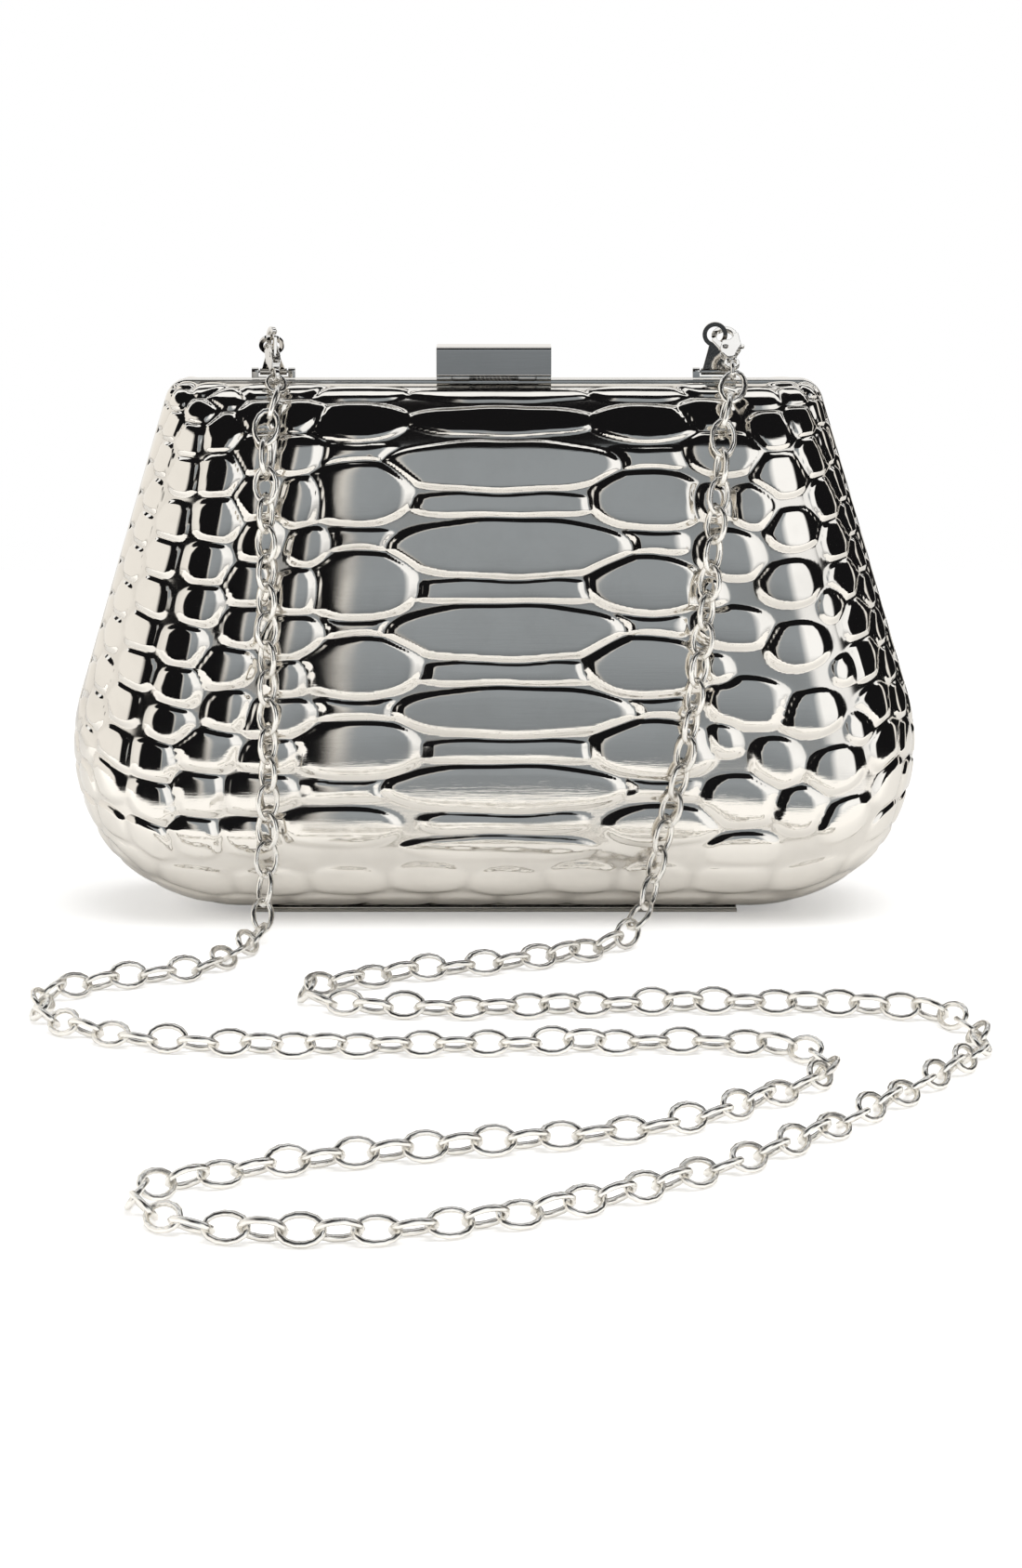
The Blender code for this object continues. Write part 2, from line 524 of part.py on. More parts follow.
class Dome:
    """A pillow-shaped skin over the frame's outline, unrolled into arc lengths across and up."""

    def __init__(self, inset, base, depth, rounding):
        outline = FrameOutline(inset)
        self.edges = outline.edges()
        self.base, self.depth, self.rounding = base, depth, rounding
        self.half_width = (outline.low_centre[0] + outline.high_centre[0]) / 2
        self.half_width += (outline.low_radius + outline.high_radius) / 2
        self.half_height = FRAME_HEIGHT / 2 - inset
        turned = rounding * (math.pi / 2 - 1)
        self.half_girth, self.half_rise = self.half_width + turned, self.half_height + turned

    def fold(self, arc, half):
        """Shares of the whole size, from 0 to 1, and the bulge, at arc lengths from the middle."""
        flat = half - self.rounding
        angle = np.clip((np.abs(arc) - flat) / self.rounding, 0.0, math.pi / 2)
        place = np.sign(arc) * (np.minimum(np.abs(arc), flat) + self.rounding * np.sin(angle))
        return (place / half + 1) / 2, np.cos(angle)

    def surface(self, across, rise):
        """Places on the skin."""
        bottom, right, top, left = self.edges
        u, gu = self.fold(across, self.half_width)
        v, gv = self.fold(rise, self.half_height)
        low, high = along_line(bottom, u), along_line(top, u)
        west, east = along_line(left, v), along_line(right, v)
        ends = [along_line(edge, [0.0, 1.0]) for edge in (bottom, top)]
        u, v = u[..., None], v[..., None]
        flat = (1 - v) * low + v * high + (1 - u) * west + u * east
        flat -= (1 - v) * ((1 - u) * ends[0][0] + u * ends[0][1])
        flat -= v * ((1 - u) * ends[1][0] + u * ends[1][1])
        swell = gu * gv / np.sqrt(np.maximum(gu**2 + gv**2 - gu**2 * gv**2, 1e-12))
        swell *= 1.0 - TOP_SLIMMING_SHARE * v[..., 0]
        return np.stack([flat[..., 0], -(self.base + self.depth * swell), flat[..., 1]], axis=-1)

    def normals(self, across, rise):
        """Unit normals pointing out of the front."""
        step = self.rounding * NORMAL_STEP_SHARE
        eastward = self.surface(across + step, rise) - self.surface(across - step, rise)
        upward = self.surface(across, rise + step) - self.surface(across, rise - step)
        normal = np.cross(eastward, upward)
        return normal / np.maximum(np.linalg.norm(normal, axis=-1, keepdims=True), 1e-12)

    def rim_places(self, columns, rows):
        """Places along the edge, anticlockwise from the bottom left as seen from the front."""
        across = np.linspace(-self.half_girth, self.half_girth, columns + 1)
        rise = np.linspace(-self.half_rise, self.half_rise, rows + 1)
        low, high = [(x, rise[0]) for x in across[:-1]], [(x, rise[-1]) for x in across[:0:-1]]
        east, west = [(across[-1], z) for z in rise[:-1]], [(across[0], z) for z in rise[:0:-1]]
        return low + east + high + west

    def plain(self, columns, rows):
        """The smooth skin as points, faces and the edge points' numbers."""
        across, rise = np.meshgrid(
            np.linspace(-self.half_girth, self.half_girth, columns + 1),
            np.linspace(-self.half_rise, self.half_rise, rows + 1),
        )
        index = np.arange(across.size).reshape(across.shape)
        corners = (index[:-1, :-1], index[:-1, 1:], index[1:, 1:], index[1:, :-1])
        faces = np.stack([c.ravel() for c in corners], axis=-1).tolist()
        rim = np.concatenate([index[0, :-1], index[:-1, -1], index[-1, :0:-1], index[:0:-1, 0]])
        return self.surface(across, rise).reshape(-1, 3), faces, rim.tolist()

    def embossed(self, columns, rows):
        """The skin with its scales, its corners on the scales' tops and in their grooves."""
        sites = scale_sites(self.half_girth, self.half_rise)
        rim = self.rim_places(columns, rows)
        places = rim + scale_corners(sites, self.half_girth, self.half_rise)
        flat = [Vector(place) / MM for place in places]
        found = delaunay_2d_cdt(flat, [], [], 0, 1e-6)
        places = np.array([[*place] for place in found[0]]) * MM
        across, rise = places.T
        points = self.surface(across, rise)
        raised = relief(across, rise, sites, self.half_girth, self.half_rise)
        points += self.normals(across, rise) * raised[:, None]
        return points, found[2], list(range(len(rim)))


def zip_rims(outer, inner, shift):
    """Triangles between two rims of different counts that start at the same corner."""
    faces = []
    i = j = 0
    while i < len(outer) or j < len(inner):
        a, b = outer[i % len(outer)], inner[j % len(inner)] + shift
        if j == len(inner) or (i < len(outer) and i * len(inner) <= j * len(outer)):
            faces.append((a, b, outer[(i + 1) % len(outer)]))
            i += 1
        else:
            faces.append((a, b, inner[(j + 1) % len(inner)] + shift))
            j += 1
    return faces


def hollow_dome(name, outer, inner, side, material):
    """A wall between two skins, closed by a flat rim. side is 1 for the front and -1 for the back."""
    shift = len(outer[0])
    faces = [tuple(face) for face in outer[1]]
    faces += [tuple(i + shift for i in reversed(face)) for face in inner[1]]
    faces += zip_rims(outer[2], inner[2], shift)
    points = np.concatenate([outer[0], inner[0]]) * np.array([1.0, side, 1.0])
    if side < 0:
        faces = [tuple(reversed(face)) for face in faces]
    mesh = bpy.data.meshes.new(name)
    mesh.from_pydata(points.tolist(), [], faces)
    return add_object(name, mesh, material)


def make_shell(name, side, material):
    outer = Dome(RIM_WIDTH, SHELL_BASE, SHELL_DEPTH, SHELL_ROUNDING)
    inner = Dome(
        RIM_WIDTH + SHELL_WALL, SHELL_BASE, SHELL_DEPTH - SHELL_WALL, SHELL_ROUNDING - SHELL_WALL
    )
    return hollow_dome(
        name, outer.embossed(SHELL_COLUMNS, SHELL_ROWS), inner.plain(BACKING_COLUMNS, BACKING_ROWS),
        side, material,
    )


def make_lining(name, side, material):
    inset = FRAME_WALL + SEAT_GAP
    base = SEAM_HALF + LINING_RECESS
    depth = SHELL_BASE + SHELL_DEPTH - SHELL_WALL - LINING_GAP - base
    outer = Dome(inset, base, depth, LINING_ROUNDING)
    inner = Dome(inset + LINING_WALL, base, depth - LINING_WALL, LINING_ROUNDING - LINING_WALL)
    return hollow_dome(
        name, outer.plain(LINING_COLUMNS, LINING_ROWS), inner.plain(LINING_COLUMNS, LINING_ROWS),
        side, material,
    )


def hinge_length():
    return KNUCKLE_PITCH * KNUCKLE_COUNT


def make_frame(name, side, material):
    """A flat ring, relieved along the bottom for the hinge barrel."""
    start, end = -side * SEAM_HALF, -side * FRAME_FACE
    frame = prism(name, FrameOutline(0.0).loop(), start, end)
    opening = prism("opening", FrameOutline(FRAME_WALL).loop(), start + side * CUT_OVERRUN, end - side * CUT_OVERRUN)
    combine(frame, opening, "DIFFERENCE")
    half = hinge_length() / 2 + SEAT_GAP
    barrel = rod("barrel", (-half, 0, HINGE_HEIGHT), (half, 0, HINGE_HEIGHT), KNUCKLE_CUT_RADIUS)
    combine(frame, barrel, "DIFFERENCE")
    return finish(frame, name, material)


def make_leaf(name, side, own, material):
    """A hinge leaf with every other knuckle of the barrel; own is 0 or 1 for the ones it carries."""
    half = hinge_length() / 2
    leaf = box("leaf", (-half, -side * LEAF_WIDTH, 0.0), (half, -side * KNUCKLE_CUT_RADIUS, LEAF_THICKNESS))
    for i in range(KNUCKLE_COUNT):
        if i % 2 != own:
            continue
        low = -half + i * KNUCKLE_PITCH + (SEAT_GAP / 2 if i else 0.0)
        high = -half + (i + 1) * KNUCKLE_PITCH - (SEAT_GAP / 2 if i < KNUCKLE_COUNT - 1 else 0.0)
        root = LEAF_WIDTH / 2
        tongue = box("tongue", (low, -side * root, 0.0), (high, 0.0, LEAF_THICKNESS))
        combine(leaf, tongue, "UNION")
        knuckle = rod("knuckle", (low, 0, HINGE_HEIGHT), (high, 0, HINGE_HEIGHT), BARREL_RADIUS)
        combine(leaf, knuckle, "UNION")
    reach = half + CUT_OVERRUN
    bore = rod("bore", (-reach, 0, HINGE_HEIGHT), (reach, 0, HINGE_HEIGHT), HINGE_BORE_RADIUS, 8)
    combine(leaf, bore, "DIFFERENCE")
    return finish(leaf, name, material)


def make_hinge_pin(material):
    half = hinge_length() / 2
    pin = rod("pin", (-half, 0, HINGE_HEIGHT), (half, 0, HINGE_HEIGHT), HINGE_PIN_RADIUS, 8)
    return finish(pin, "hinge_pin", material)


def clasp_axis():
    """Height of the clasp's pin; it lies in front of the seam by CLASP_PIN_FORWARD."""
    return FRAME_TOP + CLASP_PIN_LIFT


def across_rod(name, low, high, radius, forward, height, sides=SMALL_ROUND_SIDES):
    return rod(name, (low, -forward, height), (high, -forward, height), radius, sides)


def make_clasp_base(material):
    """A plate on the front frame's top with a knuckle at each end of its front edge."""
    half = CLASP_WIDTH / 2
    low = FRAME_TOP + SEAT_GAP
    axis = clasp_axis()
    base = box("base", (-half, -CLASP_PIN_FORWARD, low), (half, -SEAM_HALF - SEAT_GAP, low + CLASP_PLATE))
    inner = half - CLASP_KNUCKLE_WIDTH
    gap = CLASP_KNUCKLE_RADIUS + SEAT_GAP
    room = across_rod("room", -inner, inner, gap, CLASP_PIN_FORWARD, axis)
    combine(base, room, "DIFFERENCE")
    for sign in (-1, 1):
        ends = sorted((sign * inner, sign * half))
        knuckle = across_rod("knuckle", *ends, CLASP_KNUCKLE_RADIUS, CLASP_PIN_FORWARD, axis)
        combine(base, knuckle, "UNION")
    reach = half + CUT_OVERRUN
    bore = across_rod("bore", -reach, reach, CLASP_BORE_RADIUS, CLASP_PIN_FORWARD, axis, 8)
    combine(base, bore, "DIFFERENCE")
    return finish(base, "clasp_base", material)


def make_clasp_pin(material):
    half = CLASP_WIDTH / 2
    pin = across_rod("pin", -half, half, CLASP_PIN_RADIUS, CLASP_PIN_FORWARD, clasp_axis(), 8)
    return finish(pin, "clasp_pin", material)


def lever_knuckle_inner():
    """How far from the middle the lever's knuckles start; the spring lies between them."""
    return CLASP_WIDTH / 2 - CLASP_KNUCKLE_WIDTH - SEAT_GAP - LEVER_KNUCKLE_WIDTH


def lever_profile():
    """The hood's section from the front skirt over the top to the lip behind the catch, as (back, up)."""
    axis = clasp_axis()
    front = -CLASP_PIN_FORWARD - CLASP_KNUCKLE_RADIUS - SEAT_GAP - CLASP_PLATE
    back = LEVER_LIP_BACK + CLASP_PLATE
    top = FRAME_TOP + LEVER_TOP_LIFT
    skirt = axis + LEVER_SKIRT_DROP
    lip = FRAME_TOP + LEVER_LIP_LIFT
    round_off = CLASP_PLATE + LEVER_FILLET
    return (
        (front, skirt), (front + CLASP_PLATE, skirt), (front + CLASP_PLATE, top - round_off),
        (front + round_off, top - CLASP_PLATE), (back - CLASP_PLATE, top - CLASP_PLATE),
        (back - CLASP_PLATE, lip), (back, lip), (back, top - round_off), (back - LEVER_FILLET, top),
        (front + round_off, top), (front, top - round_off),
    )


def make_lever(material):
    """The thumb lever: a hood folded from one plate, with two knuckles on the clasp's pin."""
    half = CLASP_WIDTH / 2
    axis = clasp_axis()
    side_on = Matrix(((0, 0, 1, 0), (1, 0, 0, 0), (0, 1, 0, 0), (0, 0, 0, 1)))
    lever = prism("lever", lever_profile(), -half, half, side_on)
    inner = lever_knuckle_inner()
    outer = inner + LEVER_KNUCKLE_WIDTH
    front = -CLASP_PIN_FORWARD - CLASP_KNUCKLE_RADIUS - SEAT_GAP - CLASP_PLATE / 2
    for sign in (-1, 1):
        low, high = sorted((sign * inner, sign * outer))
        web = box("web", (low, front, axis), (high, -CLASP_PIN_FORWARD, axis + CLASP_KNUCKLE_RADIUS * 0.9))
        knuckle = across_rod("knuckle", low, high, CLASP_KNUCKLE_RADIUS, CLASP_PIN_FORWARD, axis)
        combine(web, knuckle, "UNION")
        combine(lever, web, "UNION")
    reach = half + CUT_OVERRUN
    bore = across_rod("bore", -reach, reach, CLASP_BORE_RADIUS, CLASP_PIN_FORWARD, axis, 8)
    combine(lever, bore, "DIFFERENCE")
    return finish(lever, "clasp_lever", material)


def make_catch(material):
    """The bar on the back frame that the lever's lip drops behind, sloped so that it lifts the lip."""
    low = FRAME_TOP + SEAT_GAP
    start = SEAM_HALF + SEAT_GAP
    back = CATCH_BACK + CATCH_CAM
    top = low + CATCH_HEIGHT
    section = (
        (start, low), (back, low), (back, low + CLASP_PLATE * 2), (CATCH_BACK, top),
        (CATCH_BACK - CATCH_NECK, top), (CATCH_BACK - CATCH_NECK - CATCH_CAM, low + CLASP_PLATE),
        (start, low + CLASP_PLATE),
    )
    side_on = Matrix(((0, 0, 1, 0), (1, 0, 0, 0), (0, 1, 0, 0), (0, 0, 0, 1)))
    half = CATCH_FOOT_WIDTH / 2
    return finish(prism("catch", section, -half, half, side_on), "clasp_catch", material)


def make_clasp_spring(material):
    """A torsion spring wound round the clasp's pin, its least gap printed."""
    room = 2 * (lever_knuckle_inner() - SPRING_END_GAP)
    turns = math.floor(room / SPRING_TURN_PITCH)
    count = turns * SPRING_POINTS_PER_TURN
    length = turns * SPRING_TURN_PITCH
    axis = clasp_axis()
    points = []
    for i in range(count + 1):
        turn = 2 * math.pi * i / SPRING_POINTS_PER_TURN
        across = -length / 2 + length * i / count
        points.append(
            (across, -CLASP_PIN_FORWARD - SPRING_COIL_RADIUS * math.sin(turn),
             axis + SPRING_COIL_RADIUS * math.cos(turn))
        )
    apart = min(
        math.dist(points[i], points[j]) for i in range(count + 1)
        for j in range(i + SPRING_POINTS_PER_TURN // 2, count + 1)
    )
    gap = apart - 2 * SPRING_WIRE_RADIUS
    print(f"clasp spring: least gap between turns {gap / MM:.2f} mm, wanted {SPRING_LEAST_GAP / MM:.2f} mm")
    curve = tube_curve("clasp_spring", points, SPRING_WIRE_RADIUS, 1)
    curve.data.materials.append(material)
    return curve


def tube_curve(name, points, radius, resolution):
    curve = bpy.data.curves.new(name, "CURVE")
    curve.dimensions = "3D"
    curve.bevel_depth = radius
    curve.bevel_resolution = resolution
    curve.use_fill_caps = True
    curve.twist_mode = "MINIMUM"
    line = curve.splines.new("POLY")
    line.points.add(len(points) - 1)
    for target, place in zip(line.points, points):
        target.co = (*place, 1.0)
    obj = bpy.data.objects.new(name, curve)
    bpy.context.scene.collection.objects.link(obj)
    return obj


def ear_axis(sign):
    return Vector((sign * EAR_SPACING / 2, -EAR_AXIS_DEPTH, FRAME_TOP + EAR_AXIS_LIFT))


def make_ear_bracket(name, sign, material):
    """A plate with two lugs, fixed to the top of the front frame."""
    axis = ear_axis(sign)
    half = EAR_BRACKET_WIDTH / 2
    low = FRAME_TOP + SEAT_GAP
    depth = EAR_LUG_RADIUS
    inside = half - EAR_LUG_WIDTH / 2
    bracket = box(
        "bracket", (axis.x - inside, axis.y - depth * 0.9, low),
        (axis.x + inside, axis.y + depth * 0.9, low + EAR_BRACKET_PLATE),
    )
    side_on = Matrix(((0, 0, 1, 0), (1, 0, 0, 0), (0, 1, 0, 0), (0, 0, 0, 1)))
    crown = corner_points((axis.y, axis.z), EAR_LUG_RADIUS, 0.0, math.pi, SMALL_ROUND_SIDES // 2)
    lug = [*crown, (axis.y - depth, low), (axis.y + depth, low)]
    for end in (-1, 1):
        inner, outer = sorted((axis.x + end * half, axis.x + end * (half - EAR_LUG_WIDTH)))
        combine(bracket, prism("lug", lug, inner, outer, side_on), "UNION")
    reach = half + CUT_OVERRUN
    bore = rod("bore", (axis.x - reach, axis.y, axis.z), (axis.x + reach, axis.y, axis.z), EAR_BORE_RADIUS, 8)
    combine(bracket, bore, "DIFFERENCE")
    return finish(bracket, name, material)


def make_ear_pin(name, sign, material):
    axis = ear_axis(sign)
    half = EAR_BRACKET_WIDTH / 2
    pin = rod("pin", (axis.x - half, axis.y, axis.z), (axis.x + half, axis.y, axis.z), EAR_PIN_RADIUS, 8)
    return finish(pin, name, material)


def ear_frame(sign, lean):
    """The ear's own frame at rest: x across, y through its thickness and z up its stem."""
    return Matrix.Translation(ear_axis(sign)) @ Matrix.Rotation(math.radians(lean), 4, "X")


def make_ear(name, sign, lean, material):
    """A tapered stem with a ring at its top, on a knuckle between the bracket's lugs."""
    half = EAR_THICKNESS / 2
    foot, neck = EAR_STEM_FOOT_WIDTH / 2, EAR_STEM_NECK_WIDTH / 2
    neck_height = EAR_LENGTH - (EAR_RING_RADIUS + EAR_HOLE_RADIUS) / 2
    ear = prism("stem", ((-foot, 0.0), (foot, 0.0), (neck, neck_height), (-neck, neck_height)), -half, half)
    ring = rod("ring", (0, -half, EAR_LENGTH), (0, half, EAR_LENGTH), EAR_RING_RADIUS, EYE_SIDES)
    combine(ear, ring, "UNION")
    width = EAR_BRACKET_WIDTH / 2 - EAR_LUG_WIDTH - SEAT_GAP
    knuckle = rod("knuckle", (-width, 0, 0), (width, 0, 0), EAR_KNUCKLE_RADIUS)
    combine(ear, knuckle, "UNION")
    hole = rod("hole", (0, -EAR_LENGTH, EAR_LENGTH), (0, EAR_LENGTH, EAR_LENGTH), EAR_HOLE_RADIUS, EYE_SIDES)
    combine(ear, hole, "DIFFERENCE")
    bore = rod("bore", (-EAR_LENGTH, 0, 0), (EAR_LENGTH, 0, 0), EAR_BORE_RADIUS, 8)
    combine(ear, bore, "DIFFERENCE")
    ear.data.transform(ear_frame(sign, lean))
    return finish(ear, name, material)


class Lobster:
    """A claw on the ear's ring, drawn in its own plane: gate side (g) and down the hang (d).

    The gate faces the middle of the bag, and its thumb tab comes out through the spine.
    """

    def __init__(self, sign, lean, hang, gate_side, band_angle):
        self.side = "left" if sign < 0 else "right"
        hang = Vector(hang).normalized()
        gate_side = Vector(gate_side)
        gate_side = (gate_side - hang * gate_side.dot(hang)).normalized()
        self.face = gate_side.cross(hang).normalized()
        band_radius = (EAR_RING_RADIUS + EAR_HOLE_RADIUS) / 2
        turn = math.radians(band_angle)
        along = Vector((sign * math.cos(turn), 0, math.sin(turn))) * band_radius
        band = ear_frame(sign, lean) @ (Vector((0, 0, EAR_LENGTH)) + along)
        self.centre = band + gate_side * BAND_OUT + hang * BAND_DOWN
        turn = Matrix([[c[i] for c in (gate_side, hang, self.face)] for i in range(3)]).to_4x4()
        self.frame = Matrix.Translation(self.centre) @ turn
        self.outer = LOOP_RADIUS + HOOK_WIDTH / 2
        self.inner = LOOP_RADIUS - HOOK_WIDTH / 2

    def at(self, gate_side, down):
        return self.frame @ Vector((gate_side, down, 0.0))

    def pivot(self):
        return self.at(GATE_PIVOT_OUT, GATE_PIVOT_DROP)

    def eye(self):
        return self.at(0.0, CLAW_EYE_DROP)

    def plate(self, name, outline, thickness):
        return prism(name, outline, -thickness / 2, thickness / 2, self.frame)

    def bar(self, name, middle, radius, reach, sides=SMALL_ROUND_SIDES):
        return rod(name, middle - self.face * reach / 2, middle + self.face * reach / 2, radius, sides)

    def make_body(self, material):
        outer, inner = self.outer, self.inner
        nose = -math.radians(NOSE_ANGLE)
        steps = 9
        arc = [nose - (math.pi + nose) * i / steps for i in range(steps + 1)]
        hook = [(outer * math.cos(t), outer * math.sin(t)) for t in arc]
        hook += [(-outer, WINDOW_HEAD / 2), (-inner, WINDOW_HEAD / 2)]
        hook += [(inner * math.cos(t), inner * math.sin(t)) for t in reversed(arc)]
        body = self.plate("body", hook, HOOK_WIDTH)
        waist = (GATE_PIVOT_DROP + CLAW_LENGTH) / 2
        back, front = outer * CLAW_BACK_SHARE, inner * CLAW_FRONT_SHARE
        claw = (
            (-back, 0.0), (-front, 0.0), (-front, inner / 2), (-inner / 2, inner),
            (inner / 2, inner), (inner, GATE_PIVOT_DROP), (inner, waist), (CLAW_NECK, CLAW_LENGTH),
            (-CLAW_NECK, CLAW_LENGTH), (-inner, waist), (-back, GATE_PIVOT_DROP),
        )
        combine(body, self.plate("claw", claw, CLAW_THICKNESS), "UNION")
        combine(body, self.bar("eye", self.eye(), CLAW_EYE_RADIUS, CLAW_EYE_THICKNESS), "UNION")
        far = CLAW_LENGTH
        slot = (
            (-SLOT_IN, inner / 2), (far, inner / 2), (far, SLOT_FOOT), (-far, SLOT_FOOT),
            (-far, WINDOW_HEAD), (-SLOT_IN, WINDOW_HEAD),
        )
        combine(body, self.plate("slot", slot, SLOT_WIDTH), "DIFFERENCE")
        combine(body, self.bar("hole", self.eye(), CLAW_EYE_HOLE, far), "DIFFERENCE")
        combine(body, self.bar("bore", self.pivot(), GATE_BORE_RADIUS, far, 8), "DIFFERENCE")
        return finish(body, f"{self.side}_lobster_body", material)

    def make_gate(self, material):
        outer, inner = self.outer, self.inner
        out, drop = GATE_PIVOT_OUT, GATE_PIVOT_DROP
        nose = math.radians(NOSE_ANGLE)
        boss = GATE_BOSS_RADIUS
        outline = [
            (inner, NOSE_GAP - inner * math.sin(nose)), (outer, GATE_TIP_DROP),
            (outer, inner / 2), *corner_points((out, drop), boss, 0.0, GATE_HEEL_TURN, SMALL_ROUND_SIDES // 2),
            (-GATE_TAB_REACH, drop), (-GATE_TAB_REACH, drop - GATE_TAB_WIDTH),
            (out - boss, drop - GATE_TAB_WIDTH), (inner, inner / 2),
        ]
        gate = self.plate("gate", outline, GATE_THICKNESS)
        bore = self.bar("bore", self.pivot(), GATE_BORE_RADIUS, CLAW_LENGTH, 8)
        combine(gate, bore, "DIFFERENCE")
        return finish(gate, f"{self.side}_gate", material)

    def make_gate_pin(self, material):
        pin = self.bar("pin", self.pivot(), GATE_PIN_RADIUS, CLAW_THICKNESS, 8)
        return finish(pin, f"{self.side}_gate_pin", material)

    def make_gate_spring(self, material):
        """A bent leaf lying on the slot's foot, one leg up beside the gate."""
        foot = SLOT_FOOT - RUNNING_GAP
        leaf = GATE_SPRING_THICKNESS
        out = GATE_SPRING_OUT
        bend = (
            (-SLOT_IN + RUNNING_GAP, foot - leaf), (out - leaf, foot - leaf), (out - leaf, GATE_SPRING_HEAD),
            (out, GATE_SPRING_HEAD), (out, foot), (-SLOT_IN + RUNNING_GAP, foot),
        )
        return finish(self.plate("leaf", bend, GATE_THICKNESS), f"{self.side}_gate_spring", material)

    def make_jump_ring(self, lead, material):
        """The round link through the claw's eye that the strap's first link hangs on."""
        way = (lead - self.face * lead.dot(self.face) * (1 - JUMP_RING_TILT_SHARE)).normalized()
        normal = way.cross(self.face).normalized()
        shape = bmesh.new()
        around, about = EYE_SIDES, 8
        rings = []
        turn = normal.to_track_quat("Z", "Y").to_matrix().to_4x4()
        place = Matrix.Translation(self.eye() + way * JUMP_RING_RADIUS) @ turn
        for i in range(around):
            a = 2 * math.pi * i / around
            ring = []
            for j in range(about):
                b = 2 * math.pi * j / about
                reach = JUMP_RING_RADIUS + JUMP_RING_WIRE * math.cos(b)
                ring.append(
                    shape.verts.new(
                        place @ Vector((reach * math.cos(a), reach * math.sin(a), JUMP_RING_WIRE * math.sin(b)))
                    )
                )
            rings.append(ring)
        for i in range(around):
            for j in range(about):
                a, b = rings[i], rings[(i + 1) % around]
                k = (j + 1) % about
                shape.faces.new((a[j], b[j], b[k], a[k]))
        name = f"{self.side}_jump_ring"
        return add_object(name, mesh_from_bmesh(name, shape), material)


def shoulder_points(x):
    """Places for the strap's centre from the shell's top edge down over its rounding, clear of the scales."""
    dome = Dome(RIM_WIDTH, SHELL_BASE, SHELL_DEPTH, SHELL_ROUNDING)
    lift = RELIEF_HEIGHT + SEAT_GAP + CHAIN_RADIUS
    across = np.linspace(-dome.half_girth, dome.half_girth, SHOULDER_SAMPLES)
    low = dome.half_rise - SHELL_ROUNDING * math.pi / 2
    for rise in np.linspace(dome.half_rise, low, SHOULDER_SAMPLES):
        level = np.full(across.shape, rise)
        places = dome.surface(across, level) + dome.normals(across, level) * lift
        yield Vector([np.interp(x, places[:, 0], places[:, k]) for k in range(3)])


def strap_start(eye):
    """Where the strap begins beyond the jump ring, and the way from the eye to it."""
    reach = 2 * JUMP_RING_RADIUS + JUMP_RING_WIRE + STRAP_END_GAP
    for place in shoulder_points(eye.x):
        if place.y < eye.y and (place - eye).length >= reach:
            break
    return place, (place - eye).normalized()


def strap_route(starts, eyes):
    """Points of the strap's centre from the left claw to the right one, closer over the shoulders."""
    floor = CHAIN_ROUTE[9][2] * MM
    knots = [eyes[0], starts[0], *(Vector(place) * MM for place in CHAIN_ROUTE), starts[1], eyes[1]]
    fine = []
    steps = 24
    for a, b, c, d in zip(knots, knots[1:], knots[2:], knots[3:]):
        t0, t1 = 0.0, math.sqrt((b - a).length)
        t2 = t1 + math.sqrt((c - b).length)
        t3 = t2 + math.sqrt((d - c).length)
        for i in range(steps):
            t = t1 + (t2 - t1) * i / steps
            ab = a.lerp(b, (t - t0) / (t1 - t0))
            bc = b.lerp(c, (t - t1) / (t2 - t1))
            cd = c.lerp(d, (t - t2) / (t3 - t2))
            abc = ab.lerp(bc, (t - t0) / (t2 - t0))
            bcd = bc.lerp(cd, (t - t1) / (t3 - t1))
            fine.append(abc.lerp(bcd, (t - t1) / (t2 - t1)))
    fine.append(knots[-2])
    line = np.array([[*p] for p in fine])
    line[:, 2] = np.maximum(line[:, 2], floor)
    along = np.concatenate([[0.0], np.cumsum(np.linalg.norm(np.diff(line, axis=0), axis=1))])
    print(f"chain strap: {along[-1] / MM:.0f} mm along its centre")
    bend = SHOULDER_RUN
    near = np.linspace(0.0, bend, SHOULDER_POINTS + 1)
    far = np.linspace(bend, along[-1] - bend, CHAIN_POINTS - 2 * SHOULDER_POINTS)
    wanted = np.concatenate([near[:-1], far, along[-1] - near[:-1][::-1]])
    return [tuple(np.interp(w, along, line[:, k]) for k in range(3)) for w in wanted]


